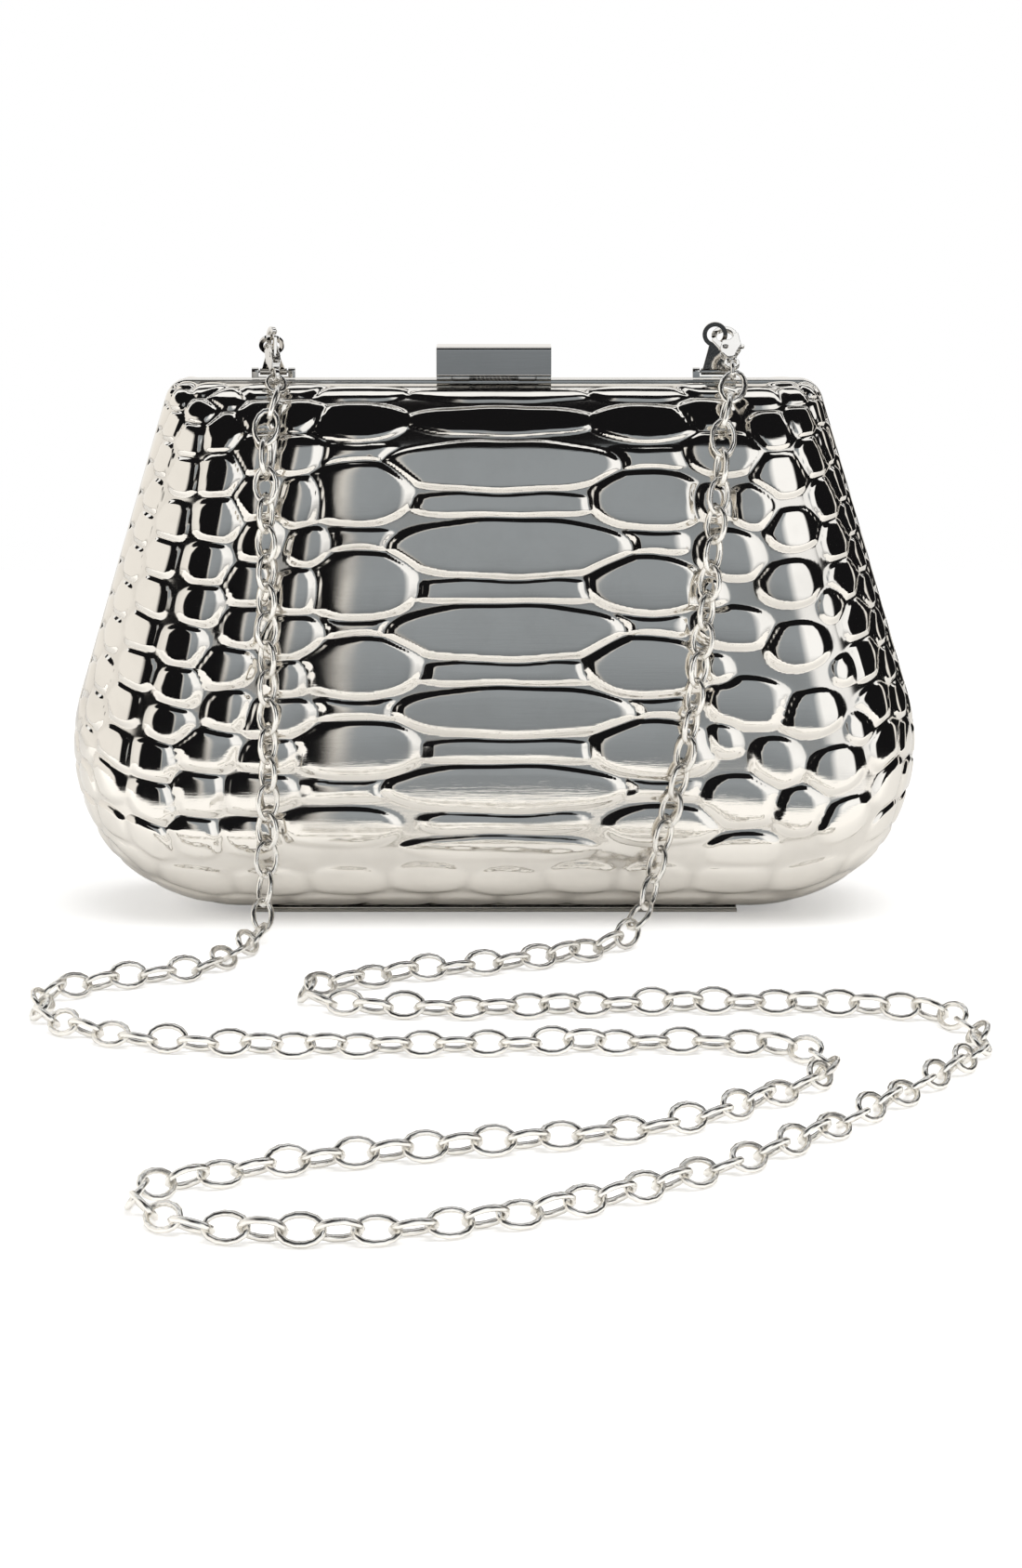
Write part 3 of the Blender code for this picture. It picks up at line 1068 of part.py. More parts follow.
def main():
    clear_scene()
    nickel = make_material("polished_nickel", PALE_NICKEL, 1.0, 0.08)
    pressed = make_material("embossed_nickel", PALE_NICKEL, 1.0, 0.05)
    links = make_material("chain_nickel", PALE_NICKEL, 1.0, 0.1)
    dark = make_material("smoked_nickel", DARK_NICKEL, 1.0, 0.15)
    steel = make_material("spring_steel", STEEL, 1.0, 0.3)
    cloth = make_material("lining_cloth", LINING_BLACK, 0.0, 0.9)
    make_shell("front_shell", 1, pressed)
    make_frame("front_frame", 1, nickel)
    make_lining("front_lining", 1, cloth)
    make_leaf("front_hinge_leaf", 1, 0, nickel)
    make_hinge_pin(steel)
    make_clasp_base(nickel)
    make_clasp_pin(steel)
    make_clasp_spring(steel)
    lever_pivot = pivot_empty("clasp_lever_pivot", (0.0, -CLASP_PIN_FORWARD, clasp_axis()))
    carry(lever_pivot, make_lever(dark))
    starts, eyes = [], []
    ears = (
        (-1, LEFT_EAR_LEAN, LEFT_HANG, LEFT_GATE_SIDE, LEFT_BAND_ANGLE),
        (1, RIGHT_EAR_LEAN, RIGHT_HANG, RIGHT_GATE_SIDE, RIGHT_BAND_ANGLE),
    )
    for sign, lean, hang, gate_side, band_angle in ears:
        claw = Lobster(sign, lean, hang, gate_side, band_angle)
        side = claw.side
        make_ear_bracket(f"{side}_ear_bracket", sign, nickel)
        make_ear_pin(f"{side}_ear_pin", sign, steel)
        ear_pivot = pivot_empty(f"{side}_ear_pivot", ear_axis(sign))
        start, lead = strap_start(claw.eye())
        starts.append(start)
        eyes.append(claw.eye())
        pieces = [
            make_ear(f"{side}_ear", sign, lean, nickel), claw.make_body(nickel),
            claw.make_gate_pin(steel), claw.make_gate_spring(steel), claw.make_jump_ring(lead, nickel),
        ]
        gate = claw.make_gate(nickel)
        gate_pivot = pivot_empty(f"{side}_gate_pivot", claw.pivot(), ear_pivot)
        carry(ear_pivot, *pieces)
        carry(gate_pivot, gate)
        axis = [round(-c, 4) for c in claw.face]
        print(f"{side} gate: axis {axis} through {[round(c / MM, 2) for c in claw.pivot()]} mm")
    strap = tube_curve("chain_strap", strap_route(starts, eyes), CHAIN_RADIUS, CHAIN_SIDES_RESOLUTION)
    strap.data.materials.append(links)
    back_pivot = pivot_empty("back_half_pivot", (0.0, 0.0, HINGE_HEIGHT))
    carry(
        back_pivot, make_shell("back_shell", -1, pressed), make_frame("back_frame", -1, nickel),
        make_lining("back_lining", -1, cloth), make_leaf("back_hinge_leaf", -1, 1, nickel),
        make_catch(nickel),
    )


main()
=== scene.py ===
"""Looks, camera and light of a hard metal evening clutch with scale-embossed halves.

Every piece sits where the CAD says, in metres, with X to the right, Y to the back and Z up.
"""

import logging
import math
import random
from dataclasses import dataclass
from enum import Enum
from typing import Callable, Optional, Sequence

import bpy
import numpy as np
from mathutils import Matrix, Vector


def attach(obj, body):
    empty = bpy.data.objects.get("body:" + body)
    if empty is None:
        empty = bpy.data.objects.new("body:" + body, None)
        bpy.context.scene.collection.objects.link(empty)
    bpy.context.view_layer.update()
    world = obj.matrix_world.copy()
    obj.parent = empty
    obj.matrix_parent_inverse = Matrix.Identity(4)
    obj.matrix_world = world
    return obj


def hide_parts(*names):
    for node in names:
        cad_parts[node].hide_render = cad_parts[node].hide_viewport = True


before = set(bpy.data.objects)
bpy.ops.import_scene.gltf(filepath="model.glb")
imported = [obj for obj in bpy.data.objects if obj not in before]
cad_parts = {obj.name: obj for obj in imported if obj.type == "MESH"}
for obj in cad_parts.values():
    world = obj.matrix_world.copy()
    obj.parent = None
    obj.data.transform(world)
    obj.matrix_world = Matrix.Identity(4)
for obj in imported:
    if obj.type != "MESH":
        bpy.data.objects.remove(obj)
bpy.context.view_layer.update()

logging.basicConfig(level=logging.INFO, format="%(message)s")
LOG = logging.getLogger("clutch")

MM = 0.001
Outline = Sequence[tuple[float, float]]
Place = Sequence[float]
Triple = tuple[float, float, float]
Stops = Sequence[tuple[float, Triple]]

# Places that several pieces share, as in the CAD
SEAT_GAP = 0.3 * MM
RUNNING_GAP = 0.2 * MM
CUT_OVERRUN = 1.0 * MM
FRAME_FOOT = 0.9 * MM
FRAME_HEIGHT = 116.8 * MM
FRAME_TOP = FRAME_FOOT + FRAME_HEIGHT
SEAM_HALF = SEAT_GAP / 2
FRAME_DEPTH = 2.5 * MM
SHELL_BASE = SEAM_HALF + FRAME_DEPTH + SEAT_GAP
SHELL_DEPTH = 22.0 * MM
TOP_SLIMMING_SHARE = 0.35
BARREL_RADIUS = 1.3 * MM
BARREL_ROOM = 1.6 * MM
BARREL_AXIS = (0.0, BARREL_RADIUS)
HINGE_PITCH = 9.8 * MM
HINGE_KNUCKLES = 11
HINGE_HALF = HINGE_PITCH * HINGE_KNUCKLES / 2
# How many flats rounds have
ROUND_SIDES = 32
SMALL_SIDES = 20
RING_SIDES = 48
# Degrees between faces from which an edge is softened, and up to which each kind of piece shades as one
EDGE_ANGLE = 50.0
PLATE_ANGLE = 32.0
CLOTH_ANGLE = 40.0
COIL_ANGLE = 50.0
RING_ANGLE = 60.0
CAST_ANGLE = 70.0
LINK_ANGLE = 180.0

# Frames that outlines are drawn in: the seam plane, and a section seen along X
SEAM_PLANE = Matrix(((1, 0, 0, 0), (0, 0, 1, 0), (0, 1, 0, 0), (0, 0, 0, 1)))
SIDE_PLANE = Matrix(((0, 0, 1, 0), (1, 0, 0, 0), (0, 1, 0, 0), (0, 0, 0, 1)))


class Body(Enum):
    """The CAD bodies that pieces ride on."""

    FRONT = "front_half"
    BACK = "back_half"
    LEVER = "clasp_lever"
    LEFT_EAR = "left_ear_and_claw"
    RIGHT_EAR = "right_ear_and_claw"
    LEFT_GATE = "left_gate"
    RIGHT_GATE = "right_gate"


class Slot(Enum):
    """The record's material slots."""

    EMBOSSED = "embossed_nickel"
    POLISHED = "polished_nickel"
    SMOKED = "smoked_nickel"
    STEEL = "spring_steel"
    CHAIN = "chain_nickel"
    CLOTH = "lining_cloth"


# ---- finishes ----


class NodeDesk:
    """Adds nodes to one node tree and feeds their inputs."""

    def __init__(self, tree: bpy.types.NodeTree) -> None:
        """Args:
            tree: the node tree of a material, group or world.
        """
        self.tree = tree

    def feed(self, node: bpy.types.Node, inputs: dict) -> None:
        """Gives a node's inputs what they take.

        Args:
            node: the node.
            inputs: by socket name or number, a value or the output to link there.
        """
        for socket, value in inputs.items():
            if isinstance(value, bpy.types.NodeSocket):
                self.tree.links.new(value, node.inputs[socket])
            else:
                node.inputs[socket].default_value = value

    def add(self, kind: str, inputs: Optional[dict] = None, **settings: object) -> bpy.types.Node:
        """Adds a node.

        Args:
            kind: the node's Blender type.
            inputs: what its inputs take, as for feed.
            settings: its own settings.

        Returns:
            The new node.
        """
        node = self.tree.nodes.new(kind)
        for name, value in settings.items():
            setattr(node, name, value)
        self.feed(node, inputs or {})
        return node

    def math(self, operation: str, *values: object, clamp: bool = False) -> bpy.types.NodeSocket:
        """Does a sum.

        Args:
            operation: which one.
            values: what goes in, outputs or numbers.
            clamp: whether the result stays between 0 and 1.

        Returns:
            The result.
        """
        node = self.add("ShaderNodeMath", dict(enumerate(values)), operation=operation, use_clamp=clamp)
        return node.outputs[0]

    def fit(
        self, value: object, start: float, end: float, low: float = 0.0, high: float = 1.0,
        kind: str = "LINEAR",
    ) -> bpy.types.NodeSocket:
        """Maps a value from one range to another.

        Args:
            value: an output or a number.
            start: what maps to low.
            end: what maps to high.
            low: the result up to start.
            high: the result from end on.
            kind: how it runs between them.

        Returns:
            The result.
        """
        inputs = {"Value": value, "From Min": start, "From Max": end, "To Min": low, "To Max": high}
        return self.add("ShaderNodeMapRange", inputs, interpolation_type=kind).outputs["Result"]

    def mix(self, share: object, first: object, second: object) -> bpy.types.NodeSocket:
        """Mixes two colours.

        Args:
            share: how much of the second one there is.
            first: a colour or an output.
            second: another.

        Returns:
            The mixed colour.
        """
        return self.add("ShaderNodeMix", {0: share, 6: first, 7: second}, data_type="RGBA").outputs[2]

    def split(self, vector: bpy.types.NodeSocket) -> bpy.types.bpy_prop_collection:
        """The X, Y and Z outputs of a vector."""
        return self.add("ShaderNodeSeparateXYZ", {"Vector": vector}).outputs

    def ramp(self, place: bpy.types.NodeSocket, stops: Stops) -> bpy.types.NodeSocket:
        """Looks a colour up on a ramp.

        Args:
            place: where on the ramp, from 0 to 1.
            stops: its places and their colours.

        Returns:
            The colour.
        """
        node = self.add("ShaderNodeValToRGB", {"Fac": place})
        elements = node.color_ramp.elements
        elements.remove(elements[1])
        elements[0].position = stops[0][0]
        elements[0].color = (*stops[0][1], 1.0)
        for position, tone in stops[1:]:
            elements.new(position).color = (*tone, 1.0)
        return node.outputs["Color"]


def new_material(name: str) -> tuple[bpy.types.Material, NodeDesk, bpy.types.Node]:
    """A new material, its desk and its shader."""
    material = bpy.data.materials.new(name)
    material.use_nodes = True
    return material, NodeDesk(material.node_tree), material.node_tree.nodes["Principled BSDF"]


# Share of the noise at which smears start and are full, what they and grooves add of the tarnish's
# colour, and what grooves add to the roughness
SMEAR_RANGE = (0.46, 0.72)
TARNISH_SHARE = 0.12
GROOVE_ROUGHNESS = 0.06


def plated_wear_group() -> bpy.types.NodeTree:
    """Faint smears and hairlines of handled plate, with tarnish where a mask says.

    Returns:
        The node group, used by every metal finish.
    """
    group = bpy.data.node_groups.new("plated_wear", "ShaderNodeTree")
    for way, kind, names in (
        ("INPUT", "NodeSocketColor", ("Plate", "Tarnish")),
        ("INPUT", "NodeSocketFloat", ("Groove", "Polish", "Smear")),
        ("OUTPUT", "NodeSocketColor", ("Colour",)), ("OUTPUT", "NodeSocketFloat", ("Roughness", "Height")),
    ):
        for name in names:
            group.interface.new_socket(name=name, in_out=way, socket_type=kind)
    desk = NodeDesk(group)
    given = desk.add("NodeGroupInput").outputs
    place = desk.add("ShaderNodeTexCoord").outputs["Object"]
    cloud = {"Vector": place, "Scale": 45.0, "Detail": 4.0, "Roughness": 0.62}
    patch = desk.fit(desk.add("ShaderNodeTexNoise", cloud).outputs["Fac"], *SMEAR_RANGE)
    stretch = {"Vector": place, "Rotation": (0.3, 0.2, 0.5), "Scale": (90.0, 90.0, 1800.0)}
    brushed = desk.add("ShaderNodeMapping", stretch).outputs["Vector"]
    hair = desk.add("ShaderNodeTexNoise", {"Vector": brushed, "Scale": 1.0, "Detail": 3.0, "Roughness": 0.7})
    haze, deep = (desk.math("MULTIPLY", mask, TARNISH_SHARE) for mask in (patch, given["Groove"]))
    tarnished = desk.math("ADD", haze, deep, clamp=True)
    smear = desk.math("ADD", desk.math("MULTIPLY", patch, given["Smear"]), given["Polish"])
    worn = desk.math("MULTIPLY", given["Groove"], GROOVE_ROUGHNESS)
    desk.add("NodeGroupOutput", {
        "Colour": desk.mix(tarnished, given["Plate"], given["Tarnish"]),
        "Roughness": desk.math("ADD", smear, worn, clamp=True), "Height": hair.outputs["Fac"],
    })
    return group


@dataclass(frozen=True)
class PlateFinish:
    """A plated or drawn metal."""

    name: str
    slot: Slot
    plate: Triple
    tarnish: Triple
    polish: float
    smear: float
    hairline: float
    groove_attribute: str = ""
    hairline_depth: float = 0.02 * MM

    def build(self, wear: bpy.types.NodeTree) -> bpy.types.Material:
        """Makes the material.

        Args:
            wear: the shared wear group.

        Returns:
            The material.
        """
        material, desk, shader = new_material(self.name)
        material.diffuse_color = (*self.plate, 1.0)
        inputs = {
            "Plate": (*self.plate, 1.0), "Tarnish": (*self.tarnish, 1.0), "Polish": self.polish,
            "Smear": self.smear,
        }
        if self.groove_attribute:
            mask = desk.add("ShaderNodeAttribute", attribute_name=self.groove_attribute)
            inputs["Groove"] = mask.outputs["Fac"]
        worn = desk.add("ShaderNodeGroup", inputs, node_tree=wear).outputs
        relief = {"Strength": self.hairline, "Distance": self.hairline_depth, "Height": worn["Height"]}
        desk.feed(shader, {
            "Metallic": 1.0, "Base Color": worn["Colour"], "Roughness": worn["Roughness"],
            "Normal": desk.add("ShaderNodeBump", relief).outputs["Normal"],
        })
        return material


@dataclass(frozen=True)
class WovenFinish:
    """The plain woven cloth of the linings."""

    name: str
    slot: Slot
    thread: Triple
    gap: Triple
    pitch: float
    thread_depth: float = 0.1 * MM

    def build(self, _wear: bpy.types.NodeTree) -> bpy.types.Material:
        """Makes the material, in which plate's wear has no use."""
        material, desk, shader = new_material(self.name)
        material.diffuse_color = (*self.thread, 1.0)
        place = desk.add("ShaderNodeTexCoord").outputs["Object"]
        spread = desk.add("ShaderNodeMapping", {"Vector": place, "Scale": (2 * math.pi / self.pitch,) * 3})
        parts = desk.split(spread.outputs["Vector"])
        weave = desk.math("MULTIPLY", desk.math("SINE", parts["X"]), desk.math("SINE", parts["Z"]))
        level = desk.math("MULTIPLY_ADD", weave, 0.5, 0.5)
        relief = {"Strength": 0.5, "Distance": self.thread_depth, "Height": level}
        desk.feed(shader, {
            "Roughness": 0.9, "Sheen Weight": 0.3,
            "Base Color": desk.mix(level, (*self.gap, 1.0), (*self.thread, 1.0)),
            "Normal": desk.add("ShaderNodeBump", relief).outputs["Normal"],
        })
        return material


# Plates have their tone and tarnish, then how much polish, smears and hairlines
FINISHES = (
    PlateFinish(
        "scale_plate", Slot.EMBOSSED, (0.82, 0.785, 0.725), (0.16, 0.14, 0.12), 0.045, 0.05, 0.25, "groove"
    ),
    PlateFinish("rim_plate", Slot.POLISHED, (0.80, 0.78, 0.74), (0.2, 0.18, 0.15), 0.06, 0.06, 0.3),
    PlateFinish("lever_plate", Slot.SMOKED, (0.66, 0.635, 0.60), (0.15, 0.14, 0.13), 0.035, 0.04, 0.2),
    PlateFinish("link_plate", Slot.CHAIN, (0.93, 0.905, 0.855), (0.3, 0.26, 0.2), 0.24, 0.05, 0.3),
    PlateFinish("drawn_steel", Slot.STEEL, (0.60, 0.585, 0.56), (0.12, 0.11, 0.1), 0.2, 0.1, 0.6),
    WovenFinish("lining_weave", Slot.CLOTH, (0.035, 0.035, 0.038), (0.008, 0.008, 0.009), 0.9 * MM),
)


# ---- bench: making and finishing pieces ----


def pick_only(piece: bpy.types.Object) -> None:
    """Makes a piece the only selected and the active one."""
    bpy.ops.object.select_all(action="DESELECT")
    piece.select_set(True)
    bpy.context.view_layer.objects.active = piece


def add_mesh(primitive: Callable, **settings: object) -> bpy.types.Object:
    """Adds a primitive, with nothing else selected.

    Args:
        primitive: the operator that adds it.
        settings: the operator's settings.

    Returns:
        The new piece.
    """
    bpy.ops.object.select_all(action="DESELECT")
    primitive(**settings)
    return bpy.context.object


def apply_modifier(piece: bpy.types.Object, kind: str, **settings: object) -> None:
    """Adds a modifier to a piece and applies it.

    Args:
        piece: the piece.
        kind: the modifier's Blender type.
        settings: the modifier's settings.
    """
    pick_only(piece)
    modifier = piece.modifiers.new(kind.lower(), kind)
    for name, value in settings.items():
        setattr(modifier, name, value)
    bpy.ops.object.modifier_apply(modifier=modifier.name)


def face_outwards(piece: bpy.types.Object) -> None:
    """Turns all faces of a closed piece outwards."""
    pick_only(piece)
    bpy.ops.object.mode_set(mode="EDIT")
    bpy.ops.mesh.select_all(action="SELECT")
    bpy.ops.mesh.normals_make_consistent(inside=False)
    bpy.ops.object.mode_set(mode="OBJECT")


def push_outline(outline: Outline, start: float, end: float, plane: Matrix = SEAM_PLANE) -> bpy.types.Object:
    """Pushes a flat outline into a solid.

    Args:
        outline: its (across, up) points in order.
        start: depth of the first face.
        end: depth of the last face.
        plane: the frame that the outline is drawn in.

    Returns:
        The new solid.
    """
    piece = add_mesh(bpy.ops.mesh.primitive_circle_add, vertices=len(outline), radius=1.0, fill_type="NGON")
    for vertex, (across, up) in zip(piece.data.vertices, outline):
        vertex.co = (across, up, start)
    bpy.ops.object.mode_set(mode="EDIT")
    bpy.ops.mesh.select_all(action="SELECT")
    bpy.ops.mesh.extrude_region_move(TRANSFORM_OT_translate={"value": (0.0, 0.0, end - start)})
    bpy.ops.object.mode_set(mode="OBJECT")
    piece.data.transform(plane)
    face_outwards(piece)
    return piece


def block(low: Place, high: Place) -> bpy.types.Object:
    """Makes a block between two corners."""
    outline = ((low[0], low[2]), (high[0], low[2]), (high[0], high[2]), (low[0], high[2]))
    return push_outline(outline, low[1], high[1])


def turn_bar(start: Place, end: Place, radius: float, sides: int = ROUND_SIDES) -> bpy.types.Object:
    """Makes a round bar between two points.

    Args:
        start: its first end.
        end: its other end.
        radius: its radius.
        sides: how many flats the round has.

    Returns:
        The bar.
    """
    low, high = Vector(start), Vector(end)
    along = high - low
    piece = add_mesh(
        bpy.ops.mesh.primitive_cylinder_add, vertices=sides, radius=radius, depth=along.length,
        location=(low + high) / 2, rotation=along.to_track_quat("Z", "Y").to_euler(),
    )
    bpy.ops.object.transform_apply(location=True, rotation=True, scale=True)
    return piece


def cross_bar(
    low: float, high: float, axis: Place, radius: float, sides: int = ROUND_SIDES
) -> bpy.types.Object:
    """Makes a round bar that runs from left to right.

    Args:
        low: where it starts across.
        high: where it ends.
        axis: how far back and how high it runs.
        radius: its radius.
        sides: how many flats the round has.

    Returns:
        The bar.
    """
    return turn_bar((low, *axis), (high, *axis), radius, sides)


def combine(piece: bpy.types.Object, operation: str, *others: bpy.types.Object) -> None:
    """Joins or cuts a piece with others.

    Args:
        piece: the piece that stays.
        operation: UNION or DIFFERENCE.
        others: the ones that are used up.
    """
    for other in others:
        apply_modifier(piece, "BOOLEAN", operation=operation, solver="EXACT", object=other)
        bpy.data.objects.remove(other, do_unlink=True)


def soften(piece: bpy.types.Object, width: float, segments: int = 2) -> None:
    """Rounds the sharp edges of a piece.

    Args:
        piece: the piece.
        width: how wide the rounding is.
        segments: how many strips it has.
    """
    limit = math.radians(EDGE_ANGLE)
    apply_modifier(piece, "BEVEL", width=width, segments=segments, limit_method="ANGLE", angle_limit=limit)


def lengths_along(line: np.ndarray) -> np.ndarray:
    """How far along a line each of its points is."""
    return np.concatenate([[0.0], np.cumsum(np.linalg.norm(np.diff(line, axis=0), axis=1))])


def corner_points(
    centre: Place, radius: float, first: float, last: float, steps: int
) -> list[tuple[float, float]]:
    """Points on an arc.

    Args:
        centre: its centre.
        radius: its radius.
        first: its first angle in radians.
        last: its last angle in radians.
        steps: how many chords it has.

    Returns:
        The points, both ends included.
    """
    angles = [first + (last - first) * i / steps for i in range(steps + 1)]
    return [(centre[0] + radius * math.cos(t), centre[1] + radius * math.sin(t)) for t in angles]


def rounded(outline: Outline, radii: Sequence[float], steps: int = 8) -> list[tuple[float, float]]:
    """An outline with its corners rounded.

    Args:
        outline: the sharp corners in order.
        radii: the radius of each corner, zero for a sharp one.
        steps: how many chords a rounding has.

    Returns:
        The new outline.
    """
    points: list[tuple[float, float]] = []
    for i, radius in enumerate(radii):
        here = Vector(outline[i])
        if radius <= 0.0:
            points.append(tuple(here))
            continue
        back = (Vector(outline[i - 1]) - here).normalized()
        ahead = (Vector(outline[(i + 1) % len(outline)]) - here).normalized()
        half = math.acos(max(-1.0, min(1.0, back.dot(ahead)))) / 2
        centre = here + (back + ahead).normalized() * radius / math.sin(half)
        first = here + back * radius / math.tan(half) - centre
        last = here + ahead * radius / math.tan(half) - centre
        turn = math.atan2(first.x * last.y - first.y * last.x, first.dot(last))
        start = math.atan2(first.y, first.x)
        points += corner_points(centre, radius, start, start + turn, steps)
    return points


@dataclass
class Finisher:
    """Gives pieces their finish, picked by slot, and their body."""

    materials: dict[Slot, bpy.types.Material]
    label: str = ""

    def labelled(self, word: str) -> "Finisher":
        """A finisher for pieces whose names and CAD nodes start with a word."""
        return Finisher(self.materials, f"{word}_")

    def hand_over(
        self, piece: bpy.types.Object, name: str, body: Body, slot: Slot, node: str,
        angle: float = PLATE_ANGLE,
    ) -> None:
        """Args:
            piece: the piece.
            name: its name, without the label.
            body: the body it rides on.
            slot: the slot whose finish it gets.
            node: the CAD node that it stands for, without the label.
            angle: degrees up to which its faces shade as one.
        """
        piece.name = piece.data.name = self.label + name
        piece.data.materials.clear()
        piece.data.materials.append(self.materials[slot])
        pick_only(piece)
        bpy.ops.object.shade_smooth_by_angle(angle=math.radians(angle))
        if angle == PLATE_ANGLE:
            # Otherwise the soft edges bend what the flat faces mirror
            apply_modifier(piece, "WEIGHTED_NORMAL", keep_sharp=True)
        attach(piece, body.value)
        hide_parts(self.label + node)
        LOG.info("%s: %d faces", piece.name, len(piece.data.polygons))


# ---- studio ----

WARM_WHITE = (1.0, 0.98, 0.95)
SOFT_WHITE = (1.15, 1.17, 1.2)
COOL_GREY = (0.33, 0.365, 0.4)
NEAR_BLACK = (0.008, 0.008, 0.009)


@dataclass(frozen=True)
class SoftBox:
    """A lamp that lights the scene but isn't mirrored; the world holds what the metal mirrors."""

    name: str
    place: Place
    width: float
    height: float
    watts: float

    def build(self, aim: Place) -> None:
        """Adds the lamp.

        Args:
            aim: the point that it faces.
        """
        turn = (Vector(aim) - Vector(self.place)).to_track_quat("-Z", "Y")
        bpy.ops.object.light_add(type="AREA", location=self.place, rotation=turn.to_euler())
        lamp = bpy.context.object
        lamp.name = self.name
        lamp.data.shape = "RECTANGLE"
        lamp.data.size, lamp.data.size_y = self.width, self.height
        lamp.data.energy = self.watts
        lamp.visible_camera = lamp.visible_glossy = False


@dataclass
class Studio:
    """The camera, the pale floor, the lamps and the surroundings that the metal mirrors."""

    camera_place: Place = (0.0037, -0.783, 0.194)
    pitch: float = 12.0
    lens: float = 82.6
    sensor: float = 36.0
    nearest: float = 0.01
    floor_front: float = -0.36
    floor_back: float = 0.5
    floor_half: float = 0.6
    floor_drop: float = 0.1 * MM
    # Floor glow in mirrors, fading close to the clutch as a painted contact shadow, and what the camera sees
    # besides
    floor_glow: float = 0.2
    painted_shadow_fade: tuple[float, float] = (-0.13, -0.045)
    camera_glow: float = 0.12
    # What the metal mirrors at each azimuth in degrees, 0 towards the camera and positive to the right
    ring: Stops = (
        (-180.0, WARM_WHITE), (-44.0, WARM_WHITE), (-37.0, NEAR_BLACK), (-5.2, NEAR_BLACK),
        (-3.9, WARM_WHITE), (-2.8, COOL_GREY), (10.0, COOL_GREY), (18.0, SOFT_WHITE), (46.0, SOFT_WHITE),
        (50.0, NEAR_BLACK), (96.0, NEAR_BLACK), (100.0, WARM_WHITE), (106.0, WARM_WHITE),
        (110.0, NEAR_BLACK), (146.0, NEAR_BLACK), (154.0, WARM_WHITE), (180.0, WARM_WHITE),
    )
    # What it mirrors overhead, in degrees from the front horizon over the top: dark, with two strip lights
    ceiling: Stops = (
        (0.0, NEAR_BLACK), (90.0, NEAR_BLACK), (91.0, SOFT_WHITE), (107.0, SOFT_WHITE),
        (108.0, NEAR_BLACK), (120.0, NEAR_BLACK), (121.0, SOFT_WHITE), (136.0, SOFT_WHITE),
        (137.0, NEAR_BLACK), (180.0, NEAR_BLACK),
    )
    # As heights on the unit sphere, where the ceiling takes over and where the ring grows dim, and how dim
    ceiling_edge: tuple[float, float] = (0.54, 0.6)
    ring_foot: tuple[float, float] = (-0.3, -0.02)
    foot_level: float = 0.15
    aim: Place = (0.0, 0.0, 0.06)
    lamps: tuple[SoftBox, ...] = (
        SoftBox("left_box", (-0.75, -0.35, 0.3), width=0.5, height=0.7, watts=2.8),
        SoftBox("right_box", (0.8, -0.3, 0.35), width=0.35, height=0.6, watts=1.4),
        SoftBox("overhead_fill", (0.25, -0.2, 1.3), width=1.4, height=1.4, watts=13.8),
    )

    def make_camera(self) -> None:
        """Places the camera as the photograph was taken."""
        turn = (math.radians(90.0 - self.pitch), 0.0, 0.0)
        bpy.ops.object.camera_add(location=self.camera_place, rotation=turn)
        camera = bpy.context.object
        camera.name = "photo_camera"
        camera.data.lens = self.lens
        camera.data.sensor_width = self.sensor
        camera.data.sensor_fit = "AUTO"
        camera.data.clip_start = self.nearest
        bpy.context.scene.camera = camera

    def make_floor(self) -> None:
        """Lays the pale floor."""
        bpy.ops.mesh.primitive_plane_add(size=1.0)
        floor = bpy.context.object
        floor.name = "pale_floor"
        depth = self.floor_back - self.floor_front
        floor.data.transform(Matrix.Diagonal((2 * self.floor_half, depth, 1.0, 1.0)))
        floor.data.transform(Matrix.Translation((0.0, self.floor_front + depth / 2, -self.floor_drop)))
        material, desk, shader = new_material("pale_floor")
        desk.feed(shader, {
            "Base Color": (0.93, 0.925, 0.915, 1.0), "Roughness": 0.9, "Specular IOR Level": 0.1,
        })
        path = desk.add("ShaderNodeLightPath").outputs
        place = desk.split(desk.add("ShaderNodeTexCoord").outputs["Object"])
        # Painted contact shadow: the glow that the metal mirrors fades out close to the clutch
        near = desk.fit(place["Y"], *self.painted_shadow_fade, 1.0, 0.0)
        mirrored = desk.math("MULTIPLY", near, path["Is Glossy Ray"])
        seen = desk.math("ADD", path["Is Camera Ray"], mirrored, clamp=True)
        seen = desk.math("MAXIMUM", seen, path["Is Transmission Ray"])
        extra = desk.math("MULTIPLY", path["Is Camera Ray"], self.camera_glow)
        glow = desk.add("ShaderNodeEmission", {
            "Color": (1.0, 0.995, 0.985, 1.0),
            "Strength": desk.math("MULTIPLY_ADD", seen, self.floor_glow, extra),
        })
        both = desk.add("ShaderNodeAddShader", {0: shader.outputs[0], 1: glow.outputs[0]})
        desk.feed(material.node_tree.nodes["Material Output"], {"Surface": both.outputs[0]})
        floor.data.materials.append(material)

